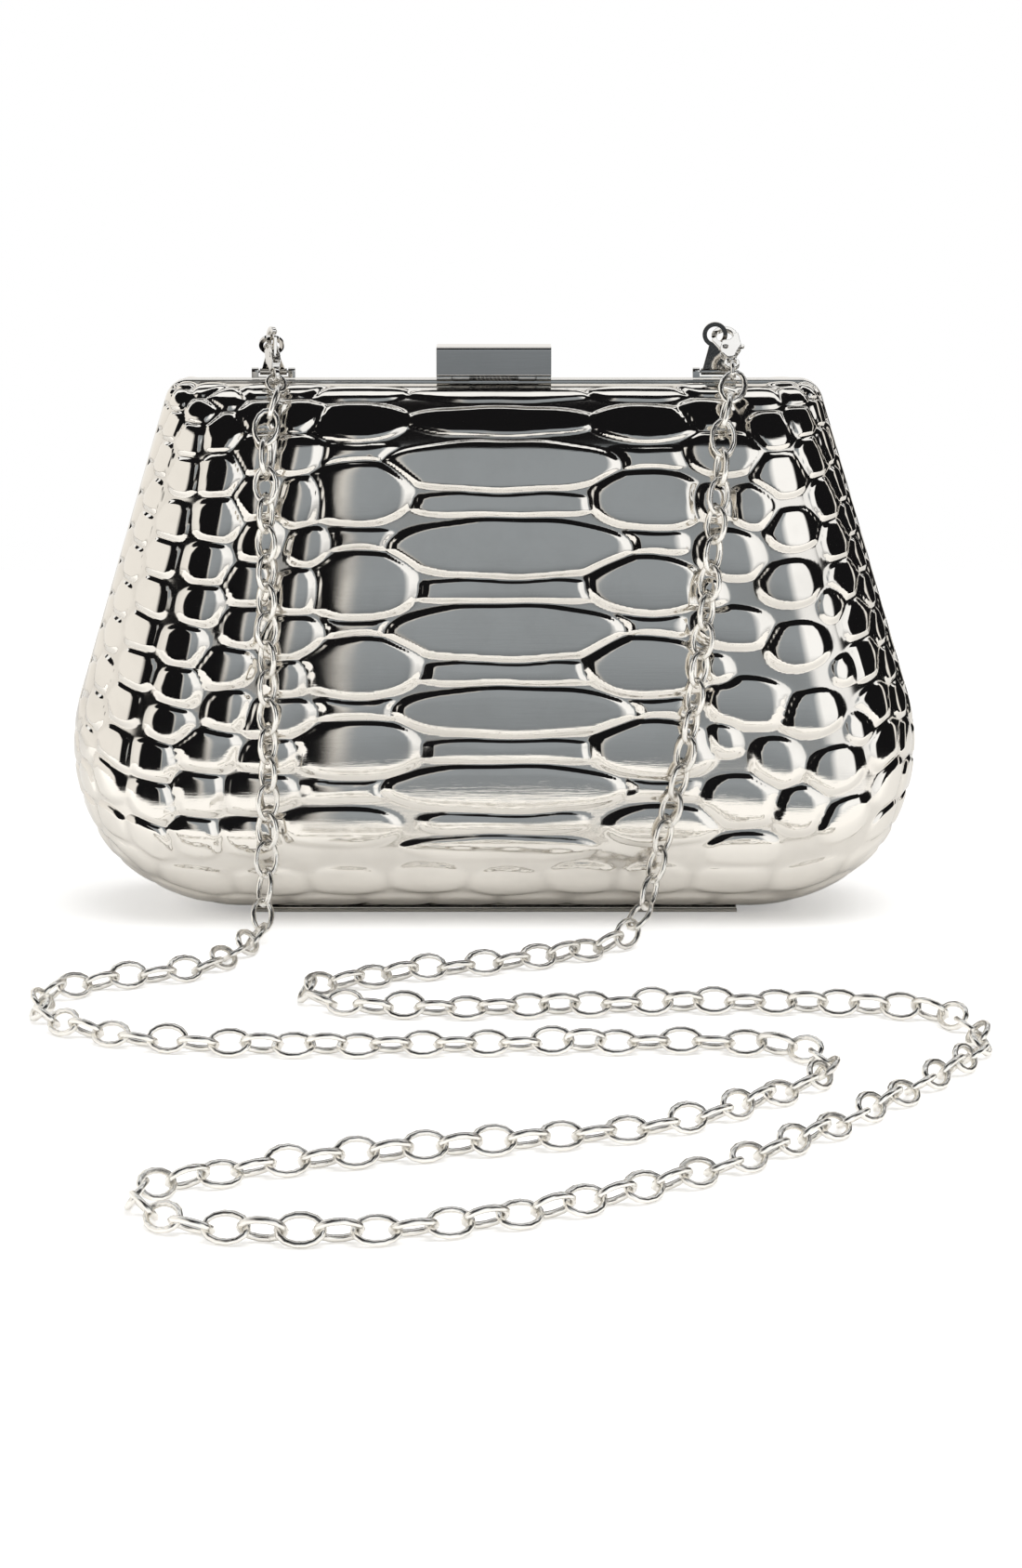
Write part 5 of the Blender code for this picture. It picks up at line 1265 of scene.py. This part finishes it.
@dataclass
class ClutchHalf:
    """One half of the clutch: embossed shell, flat rim frame and cloth-covered lining tray."""

    finisher: Finisher
    side: int
    rim_width: float = 0.7 * MM
    shell_rounding: float = 21.0 * MM
    shell_wall: float = 0.8 * MM
    # Cells across and up
    shell_cells: tuple[int, int] = (250, 376)
    backing_cells: tuple[int, int] = (44, 36)
    lining_cells: tuple[int, int] = (60, 48)
    frame_wall: float = 3.2 * MM
    frame_rounding: float = 0.45 * MM
    lining_gap: float = 1.2 * MM
    lining_wall: float = 0.8 * MM
    lining_rounding: float = 17.0 * MM
    lining_recess: float = 0.5 * MM

    def __post_init__(self) -> None:
        """Works out the half's body and labels its pieces."""
        word, self.body = ("front", Body.FRONT) if self.side > 0 else ("back", Body.BACK)
        self.finisher = self.finisher.labelled(word)

    def make_shell(self) -> None:
        """Makes the embossed shell."""
        wall = self.shell_wall
        outer = DomeSkin(
            self.rim_width, SHELL_BASE, SHELL_DEPTH, self.shell_rounding, self.shell_cells, embossed=True
        )
        inner = DomeSkin(
            self.rim_width + wall, SHELL_BASE, SHELL_DEPTH - wall, self.shell_rounding - wall,
            self.backing_cells,
        )
        shell = hollow_dome(outer, inner, self.side)
        self.finisher.hand_over(shell, "scale_shell", self.body, Slot.EMBOSSED, "shell", CAST_ANGLE)

    def make_lining(self) -> None:
        """Makes the lining tray."""
        wall, inset = self.lining_wall, self.frame_wall + SEAT_GAP
        base = SEAM_HALF + self.lining_recess
        depth = SHELL_BASE + SHELL_DEPTH - self.shell_wall - self.lining_gap - base
        outer = DomeSkin(inset, base, depth, self.lining_rounding, self.lining_cells)
        inner = DomeSkin(inset + wall, base, depth - wall, self.lining_rounding - wall, self.lining_cells)
        lining = hollow_dome(outer, inner, self.side)
        self.finisher.hand_over(lining, "cloth_tray", self.body, Slot.CLOTH, "lining", CLOTH_ANGLE)

    def make_frame(self) -> None:
        """Makes the flat ring with softly rounded edges, relieved for the hinge barrel."""
        start, end = -self.side * SEAM_HALF, -self.side * (SEAM_HALF + FRAME_DEPTH)
        over = self.side * CUT_OVERRUN
        ring = push_outline(RimOutline(0.0).loop(), start, end)
        opening = push_outline(RimOutline(self.frame_wall).loop(), start + over, end - over)
        combine(ring, "DIFFERENCE", opening)
        soften(ring, self.frame_rounding, segments=3)
        half = HINGE_HALF + SEAT_GAP
        combine(ring, "DIFFERENCE", cross_bar(-half, half, BARREL_AXIS, BARREL_ROOM))
        self.finisher.hand_over(ring, "rim_ring", self.body, Slot.POLISHED, "frame")

    def build(self) -> None:
        """Makes all three pieces."""
        self.make_shell()
        self.make_frame()
        self.make_lining()


# ---- clasp ----


@dataclass
class SprungClasp:
    """The top clasp: base with knuckles, pin, wound spring, folded thumb lever and catch."""

    finisher: Finisher
    width: float = 24.8 * MM
    plate: float = 0.5 * MM
    base_round: float = 0.08 * MM
    knuckle_radius: float = 0.9 * MM
    knuckle_width: float = 3.2 * MM
    bore_radius: float = 0.6 * MM
    pin_radius: float = 0.4 * MM
    pin_round: float = 0.1 * MM
    forward: float = 3.9 * MM
    lift: float = 0.6 * MM
    lever_rise: float = 7.2 * MM
    skirt_drop: float = 0.3 * MM
    lever_knuckle: float = 3.6 * MM
    web_share: float = 0.9
    lip_back: float = 2.85 * MM
    lip_lift: float = 1.5 * MM
    fold_radius: float = 0.75 * MM
    inner_fold_radius: float = 0.3 * MM
    hem_radius: float = 0.42 * MM
    edge_round: float = 0.2 * MM
    catch_height: float = 2.8 * MM
    catch_back: float = 2.2 * MM
    catch_neck: float = 0.7 * MM
    catch_slope: float = 0.3 * MM
    catch_half: float = 10.0 * MM
    catch_round: float = 0.12 * MM
    coil_radius: float = 0.72 * MM
    coil_wire: float = 0.16 * MM
    coil_pitch: float = 0.86 * MM
    coil_end_gap: float = 1.2 * MM
    coil_sides: int = 10
    coil_steps: int = 24

    def __post_init__(self) -> None:
        """Works out the pin's height and axis, half the width and where the lever's knuckles start."""
        self.pin_height = FRAME_TOP + self.lift
        self.axis = (-self.forward, self.pin_height)
        self.half = self.width / 2
        self.knuckle_inner = self.half - self.knuckle_width - SEAT_GAP - self.lever_knuckle

    def bore(self, piece: bpy.types.Object) -> None:
        """Bores the pin's hole through a piece."""
        reach = self.half + CUT_OVERRUN
        combine(piece, "DIFFERENCE", cross_bar(-reach, reach, self.axis, self.bore_radius))

    def make_base(self) -> None:
        """Makes the plate with a knuckle at each end of its front edge."""
        low = FRAME_TOP + SEAT_GAP
        base = block((-self.half, -self.forward, low), (self.half, -SEAM_HALF - SEAT_GAP, low + self.plate))
        inner = self.half - self.knuckle_width
        combine(base, "DIFFERENCE", cross_bar(-inner, inner, self.axis, self.knuckle_radius + SEAT_GAP))
        for sign in (-1, 1):
            ends = sorted((sign * inner, sign * self.half))
            combine(base, "UNION", cross_bar(*ends, self.axis, self.knuckle_radius))
        self.bore(base)
        soften(base, self.base_round)
        self.finisher.hand_over(base, "clasp_base_plate", Body.FRONT, Slot.POLISHED, "clasp_base")

    def make_pin(self) -> None:
        """Makes the pin with softened ends."""
        pin = cross_bar(-self.half, self.half, self.axis, self.pin_radius, SMALL_SIDES)
        soften(pin, self.pin_round)
        self.finisher.hand_over(pin, "clasp_axle", Body.FRONT, Slot.STEEL, "clasp_pin")

    def make_spring(self) -> None:
        """Winds the torsion spring round the pin, with capped ends."""
        turns = math.floor(2 * (self.knuckle_inner - self.coil_end_gap) / self.coil_pitch)
        coil = add_mesh(bpy.ops.mesh.primitive_circle_add, vertices=self.coil_sides, radius=self.coil_wire)
        upright = Matrix.Rotation(math.pi / 2, 4, "X")
        coil.data.transform(Matrix.Translation((0, 0, self.coil_radius)) @ upright)
        apply_modifier(
            coil, "SCREW", axis="X", angle=2 * math.pi, screw_offset=self.coil_pitch, iterations=turns,
            steps=self.coil_steps, render_steps=self.coil_steps,
        )
        bpy.ops.object.mode_set(mode="EDIT")
        bpy.ops.mesh.select_mode(type="EDGE")
        bpy.ops.mesh.select_all(action="DESELECT")
        bpy.ops.mesh.select_non_manifold()
        bpy.ops.mesh.fill_holes(sides=0)
        bpy.ops.object.mode_set(mode="OBJECT")
        coil.data.transform(Matrix.Translation((-turns * self.coil_pitch / 2, *self.axis)))
        face_outwards(coil)
        self.finisher.hand_over(coil, "clasp_coil", Body.FRONT, Slot.STEEL, "clasp_spring", COIL_ANGLE)

    def make_lever(self) -> None:
        """Makes the thumb lever: a hood folded from one plate, with two knuckles on the pin."""
        front = -self.forward - self.knuckle_radius - SEAT_GAP - self.plate
        back = self.lip_back + self.plate
        top = FRAME_TOP + self.lever_rise
        skirt, lip = self.pin_height + self.skirt_drop, FRAME_TOP + self.lip_lift
        wall, fold, inner_fold = self.plate, self.fold_radius, self.inner_fold_radius
        corners = (
            (front, skirt), (front + wall, skirt), (front + wall, top - wall), (back - wall, top - wall),
            (back - wall, lip), (back, lip), (back, top), (front, top),
        )
        outline = rounded(corners, (self.hem_radius, 0.0, inner_fold, inner_fold, 0.0, 0.0, fold, fold))
        lever = push_outline(outline, -self.half, self.half, SIDE_PLANE)
        soften(lever, self.edge_round, segments=4)
        inner = self.knuckle_inner
        outer = inner + self.lever_knuckle
        for sign in (-1, 1):
            low, high = sorted((sign * inner, sign * outer))
            web_top = self.pin_height + self.knuckle_radius * self.web_share
            web = block((low, front + wall / 2, self.pin_height), (high, -self.forward, web_top))
            combine(web, "UNION", cross_bar(low, high, self.axis, self.knuckle_radius))
            combine(lever, "UNION", web)
        self.bore(lever)
        self.finisher.hand_over(lever, "thumb_lever", Body.LEVER, Slot.SMOKED, "clasp_lever")

    def make_catch(self) -> None:
        """Makes the sloped bar on the back frame that the lever's lip drops behind."""
        low = FRAME_TOP + SEAT_GAP
        start = SEAM_HALF + SEAT_GAP
        back = self.catch_back + self.catch_slope
        top = low + self.catch_height
        neck = self.catch_back - self.catch_neck
        section = (
            (start, low), (back, low), (back, low + self.plate * 2), (self.catch_back, top), (neck, top),
            (neck - self.catch_slope, low + self.plate), (start, low + self.plate),
        )
        catch = push_outline(section, -self.catch_half, self.catch_half, SIDE_PLANE)
        soften(catch, self.catch_round, segments=3)
        self.finisher.hand_over(catch, "latch_bar", Body.BACK, Slot.POLISHED, "clasp_catch")

    def build(self) -> None:
        """Makes all its pieces."""
        self.make_base()
        self.make_pin()
        self.make_spring()
        self.make_lever()
        self.make_catch()


# ---- ears and claws ----


@dataclass
class FoldingEar:
    """An eyelet on a tapered stem, pinned between the lugs of a small bracket."""

    finisher: Finisher
    sign: int
    lean: float
    spacing: float = 95.6 * MM
    bracket_width: float = 9.4 * MM
    bracket_plate: float = 0.3 * MM
    bracket_round: float = 0.08 * MM
    lug_width: float = 1.5 * MM
    lug_radius: float = 0.85 * MM
    lug_steps: int = 16
    foot_share: float = 0.9
    knuckle_radius: float = 0.75 * MM
    bore_radius: float = 0.5 * MM
    pin_radius: float = 0.3 * MM
    pin_round: float = 0.08 * MM
    axis_depth: float = 1.4 * MM
    axis_lift: float = 1.6 * MM
    thickness: float = 0.7 * MM
    length: float = 8.15 * MM
    ring_radius: float = 2.7 * MM
    hole_radius: float = 1.75 * MM
    ring_round: float = 0.2 * MM
    foot_width: float = 5.4 * MM
    neck_width: float = 2.4 * MM

    def __post_init__(self) -> None:
        """Works out the side's bodies, labels its pieces, and places the pin and the ear's own frame.

        In that frame X runs across, Y through the ear and Z up its stem.
        """
        left = self.sign < 0
        self.finisher = self.finisher.labelled("left" if left else "right")
        self.body = Body.LEFT_EAR if left else Body.RIGHT_EAR
        self.gate_body = Body.LEFT_GATE if left else Body.RIGHT_GATE
        self.axis = Vector((self.sign * self.spacing / 2, -self.axis_depth, FRAME_TOP + self.axis_lift))
        self.pose = Matrix.Translation(self.axis) @ Matrix.Rotation(math.radians(self.lean), 4, "X")

    def make_bracket(self) -> None:
        """Makes the plate with its two round-headed lugs."""
        axis, low, half = self.axis, FRAME_TOP + SEAT_GAP, self.bracket_width / 2
        inside, deep = half - self.lug_width / 2, self.lug_radius * self.foot_share
        bracket = block(
            (axis.x - inside, axis.y - deep, low), (axis.x + inside, axis.y + deep, low + self.bracket_plate)
        )
        crown = corner_points((axis.y, axis.z), self.lug_radius, 0.0, math.pi, self.lug_steps)
        lug = [*crown, (axis.y - self.lug_radius, low), (axis.y + self.lug_radius, low)]
        for end in (-1, 1):
            inner, outer = sorted((axis.x + end * half, axis.x + end * (half - self.lug_width)))
            combine(bracket, "UNION", push_outline(lug, inner, outer, SIDE_PLANE))
        reach = half + CUT_OVERRUN
        bore = cross_bar(axis.x - reach, axis.x + reach, axis.yz, self.bore_radius)
        combine(bracket, "DIFFERENCE", bore)
        soften(bracket, self.bracket_round)
        self.finisher.hand_over(bracket, "ear_mount", Body.FRONT, Slot.POLISHED, "ear_bracket")

    def make_pin(self) -> None:
        """Makes the pin."""
        axis, half = self.axis, self.bracket_width / 2
        pin = cross_bar(axis.x - half, axis.x + half, axis.yz, self.pin_radius, SMALL_SIDES)
        soften(pin, self.pin_round)
        self.finisher.hand_over(pin, "ear_axle", Body.FRONT, Slot.STEEL, "ear_pin")

    def make_eyelet(self) -> None:
        """Makes the stem, its ring and its knuckle."""
        half, foot, neck, up = self.thickness / 2, self.foot_width / 2, self.neck_width / 2, self.length
        neck_height = up - (self.ring_radius + self.hole_radius) / 2
        stem = ((-foot, 0.0), (foot, 0.0), (neck, neck_height), (-neck, neck_height))
        ear = push_outline(stem, -half, half)
        combine(ear, "UNION", turn_bar((0, -half, up), (0, half, up), self.ring_radius, RING_SIDES))
        combine(ear, "DIFFERENCE", turn_bar((0, -foot, up), (0, foot, up), self.hole_radius, RING_SIDES))
        soften(ear, self.ring_round, segments=3)
        width, reach = self.bracket_width / 2 - self.lug_width - SEAT_GAP, foot * 2
        combine(ear, "UNION", cross_bar(-width, width, (0, 0), self.knuckle_radius))
        combine(ear, "DIFFERENCE", cross_bar(-reach, reach, (0, 0), self.bore_radius))
        ear.data.transform(self.pose)
        self.finisher.hand_over(ear, "eyelet", self.body, Slot.SMOKED, "ear")

    def build(self) -> None:
        """Makes all its pieces."""
        self.make_bracket()
        self.make_pin()
        self.make_eyelet()


@dataclass
class ClawClasp:
    """A claw on an ear's ring, drawn in its own plane: gate side, then down its hang."""

    ear: FoldingEar
    hang: Triple
    gate_side: Triple
    band_angle: float
    strap_start: Triple
    loop_radius: float = 2.3 * MM
    hook_width: float = 1.1 * MM
    hook_steps: int = 28
    thickness: float = 2.0 * MM
    length: float = 7.1 * MM
    neck: float = 0.8 * MM
    back_share: float = 1.03
    front_share: float = 0.95
    eye_drop: float = 8.3 * MM
    eye_radius: float = 1.7 * MM
    eye_hole: float = 0.95 * MM
    eye_thickness: float = 1.0 * MM
    nose_angle: float = 12.0
    nose_gap: float = 0.35 * MM
    slot_width: float = 1.2 * MM
    slot_in: float = 0.8 * MM
    slot_foot: float = 6.0 * MM
    window_head: float = 2.6 * MM
    gate_thickness: float = 0.7 * MM
    gate_round: float = 0.1 * MM
    tip_drop: float = 0.32 * MM
    pivot_out: float = 0.6 * MM
    pivot_drop: float = 3.9 * MM
    boss_radius: float = 0.85 * MM
    heel_turn: float = 150.0
    heel_steps: int = 14
    bore_radius: float = 0.5 * MM
    pin_radius: float = 0.3 * MM
    pin_round: float = 0.06 * MM
    tab_reach: float = 3.7 * MM
    tab_width: float = 0.9 * MM
    tab_round_share: float = 0.45
    leaf_out: float = 2.0 * MM
    leaf: float = 0.2 * MM
    leaf_head: float = 5.0 * MM
    leaf_steps: int = 5
    band_out: float = 0.3 * MM
    band_down: float = 0.75 * MM
    ring_radius: float = 2.0 * MM
    ring_wire: float = 0.4 * MM
    ring_wire_sides: int = 14
    ring_tilt_share: float = 0.4
    link_reach: float = 6.75 * MM
    cast_cell: float = 0.1 * MM
    cast_smoothing: int = 12

    def __post_init__(self) -> None:
        """Works out the claw's own frame and the places in it that other pieces need."""
        self.finisher, self.body = self.ear.finisher, self.ear.body
        hang = Vector(self.hang).normalized()
        side = Vector(self.gate_side)
        side = (side - hang * side.dot(hang)).normalized()
        self.face = side.cross(hang).normalized()
        band = (self.ear.ring_radius + self.ear.hole_radius) / 2
        turn = math.radians(self.band_angle)
        along = Vector((self.ear.sign * math.cos(turn), 0, math.sin(turn))) * band
        place = self.ear.pose @ (Vector((0, 0, self.ear.length)) + along)
        centre = place + side * self.band_out + hang * self.band_down
        axes = Matrix([[c[i] for c in (side, hang, self.face)] for i in range(3)]).to_4x4()
        self.pose = Matrix.Translation(centre) @ axes
        self.outer = self.loop_radius + self.hook_width / 2
        self.inner = self.loop_radius - self.hook_width / 2
        self.pivot = self.pose @ Vector((self.pivot_out, self.pivot_drop, 0.0))
        # The jump ring runs through the eye, and the strap's first link hangs in it
        self.eye = self.pose @ Vector((0.0, self.eye_drop, 0.0))
        self.lead = (Vector(self.strap_start) * MM - self.eye).normalized()
        self.first_link = self.eye + self.lead * self.link_reach

    def plate(self, outline: Outline, thickness: float) -> bpy.types.Object:
        """Makes a plate in the claw's plane."""
        return push_outline(outline, -thickness / 2, thickness / 2, self.pose)

    def bar(self, middle: Vector, radius: float, reach: float, sides: int = ROUND_SIDES) -> bpy.types.Object:
        """Makes a round bar through the claw's plane.

        Args:
            middle: its middle.
            radius: its radius.
            reach: its whole length.
            sides: how many flats the round has.

        Returns:
            The bar.
        """
        shift = self.face * reach / 2
        return turn_bar(middle - shift, middle + shift, radius, sides)

    def make_body(self) -> None:
        """Makes the cast claw: cut as the CAD's, then remeshed and smoothed until its edges are round."""
        outer, inner = self.outer, self.inner
        nose = -math.radians(self.nose_angle)
        hook = corner_points((0.0, 0.0), outer, nose, -math.pi, self.hook_steps)
        hook += [(-outer, self.window_head / 2), (-inner, self.window_head / 2)]
        hook += corner_points((0.0, 0.0), inner, -math.pi, nose, self.hook_steps)
        waist = (self.pivot_drop + self.length) / 2
        back, front, far = outer * self.back_share, inner * self.front_share, self.length
        claw = (
            (-back, 0.0), (-front, 0.0), (-front, inner / 2), (-inner / 2, inner), (inner / 2, inner),
            (inner, self.pivot_drop), (inner, waist), (self.neck, far), (-self.neck, far), (-inner, waist),
            (-back, self.pivot_drop),
        )
        slot = (
            (-self.slot_in, inner / 2), (far, inner / 2), (far, self.slot_foot), (-far, self.slot_foot),
            (-far, self.window_head), (-self.slot_in, self.window_head),
        )
        body = self.plate(hook, self.hook_width)
        eye = self.bar(self.eye, self.eye_radius, self.eye_thickness)
        combine(body, "UNION", self.plate(claw, self.thickness), eye)
        holes = self.bar(self.eye, self.eye_hole, far), self.bar(self.pivot, self.bore_radius, far)
        combine(body, "DIFFERENCE", self.plate(slot, self.slot_width), *holes)
        apply_modifier(body, "REMESH", mode="VOXEL", voxel_size=self.cast_cell)
        apply_modifier(body, "SMOOTH", iterations=self.cast_smoothing)
        self.finisher.hand_over(body, "claw", self.body, Slot.POLISHED, "lobster_body", CAST_ANGLE)

    def make_gate(self) -> None:
        """Makes the sprung gate with its thumb tab."""
        outer, inner, reach = self.outer, self.inner, self.tab_reach
        out, drop, boss = self.pivot_out, self.pivot_drop, self.boss_radius
        tab, bend = drop - self.tab_width, self.tab_width * self.tab_round_share
        heel = corner_points((out, drop), boss, 0.0, math.radians(self.heel_turn), self.heel_steps)
        corners = ((-reach + boss, drop), (-reach, drop), (-reach, tab), (-reach + boss, tab))
        thumb = rounded(corners, (0.0, bend, bend, 0.0))
        outline = [
            (inner, self.nose_gap - inner * math.sin(math.radians(self.nose_angle))), (outer, self.tip_drop),
            (outer, inner / 2), *heel, *thumb, (out - boss, tab), (inner, inner / 2),
        ]
        gate = self.plate(outline, self.gate_thickness)
        combine(gate, "DIFFERENCE", self.bar(self.pivot, self.bore_radius, self.length))
        soften(gate, self.gate_round)
        self.finisher.hand_over(gate, "claw_gate", self.ear.gate_body, Slot.POLISHED, "gate")

    def make_small_parts(self) -> None:
        """Makes the gate's pin and leaf spring."""
        pin = self.bar(self.pivot, self.pin_radius, self.thickness, SMALL_SIDES)
        soften(pin, self.pin_round)
        self.finisher.hand_over(pin, "claw_axle", self.body, Slot.STEEL, "gate_pin")
        foot, leaf, out, head = self.slot_foot - RUNNING_GAP, self.leaf, self.leaf_out, self.leaf_head
        near = -self.slot_in + RUNNING_GAP
        corners = (
            (near, foot - leaf), (out - leaf, foot - leaf), (out - leaf, head), (out, head), (out, foot),
            (near, foot),
        )
        bend = rounded(corners, (0.0, leaf, 0.0, 0.0, leaf, 0.0), self.leaf_steps)
        spring = self.plate(bend, self.gate_thickness)
        self.finisher.hand_over(spring, "claw_leaf", self.body, Slot.STEEL, "gate_spring")

    def make_jump_ring(self) -> None:
        """Makes the round link through the eye that the strap hangs on."""
        lead = self.lead
        way = (lead - self.face * lead.dot(self.face) * (1 - self.ring_tilt_share)).normalized()
        ring = add_mesh(
            bpy.ops.mesh.primitive_torus_add, major_segments=RING_SIDES, minor_segments=self.ring_wire_sides,
            major_radius=self.ring_radius, minor_radius=self.ring_wire,
        )
        turn = way.cross(self.face).normalized().to_track_quat("Z", "Y").to_matrix().to_4x4()
        ring.data.transform(Matrix.Translation(self.eye + way * self.ring_radius) @ turn)
        self.finisher.hand_over(ring, "round_link", self.body, Slot.POLISHED, "jump_ring", RING_ANGLE)

    def build(self) -> None:
        """Makes all its pieces."""
        self.make_body()
        self.make_gate()
        self.make_small_parts()
        self.make_jump_ring()


# ---- hinge ----


@dataclass
class PianoHinge:
    """The long hinge along the bottom: two leaves with alternating knuckles, and the pin."""

    finisher: Finisher
    leaf_thickness: float = 0.6 * MM
    leaf_width: float = 7.0 * MM
    leaf_round: float = 0.07 * MM
    pin_radius: float = 0.45 * MM
    pin_round: float = 0.1 * MM
    bore_radius: float = 0.75 * MM

    def make_leaf(self, side: int, own: int) -> None:
        """Makes one leaf with every other knuckle.

        Args:
            side: 1 for the front and -1 for the back.
            own: 0 or 1, for the knuckles that it carries.
        """
        thick = self.leaf_thickness
        leaf = block((-HINGE_HALF, -side * self.leaf_width, 0.0), (HINGE_HALF, -side * BARREL_ROOM, thick))
        for i in range(own, HINGE_KNUCKLES, 2):
            low = -HINGE_HALF + i * HINGE_PITCH + (SEAT_GAP / 2 if i else 0.0)
            high = -HINGE_HALF + (i + 1) * HINGE_PITCH - (SEAT_GAP / 2 if i < HINGE_KNUCKLES - 1 else 0.0)
            tongue = block((low, -side * self.leaf_width / 2, 0.0), (high, 0.0, thick))
            combine(leaf, "UNION", tongue, cross_bar(low, high, BARREL_AXIS, BARREL_RADIUS))
        reach = HINGE_HALF + CUT_OVERRUN
        combine(leaf, "DIFFERENCE", cross_bar(-reach, reach, BARREL_AXIS, self.bore_radius))
        soften(leaf, self.leaf_round)
        word, body = ("front", Body.FRONT) if side > 0 else ("back", Body.BACK)
        self.finisher.labelled(word).hand_over(leaf, "hinge_wing", body, Slot.POLISHED, "hinge_leaf")

    def build(self) -> None:
        """Makes both leaves and the pin."""
        self.make_leaf(1, 0)
        self.make_leaf(-1, 1)
        pin = cross_bar(-HINGE_HALF, HINGE_HALF, BARREL_AXIS, self.pin_radius, SMALL_SIDES)
        soften(pin, self.pin_round)
        self.finisher.hand_over(pin, "hinge_axle", Body.FRONT, Slot.STEEL, "hinge_pin")


def main() -> None:
    """Builds the clutch, its stage and its lights."""
    wear = plated_wear_group()
    finisher = Finisher({finish.slot: finish.build(wear) for finish in FINISHES})
    Studio().build()
    for side in (1, -1):
        ClutchHalf(finisher, side).build()
    PianoHinge(finisher).build()
    SprungClasp(finisher).build()
    claws = (
        ClawClasp(
            FoldingEar(finisher, sign=-1, lean=40.0), hang=(0.12, -0.5, -0.86), gate_side=(0.34, -0.94, 0.0),
            band_angle=90.0, strap_start=(-46.619, -17.409, 113.74),
        ),
        ClawClasp(
            FoldingEar(finisher, sign=1, lean=6.0), hang=(0.15, -0.76, -0.63), gate_side=(-1.0, 0.0, 0.0),
            band_angle=0.0, strap_start=(51.088, -14.83, 116.824),
        ),
    )
    for claw in claws:
        claw.ear.build()
        claw.build()
    strap = ChainStrap(finisher)
    chain, line = strap.build([claw.first_link for claw in claws], [claw.eye for claw in claws])


if __name__ == "__main__":
    main()
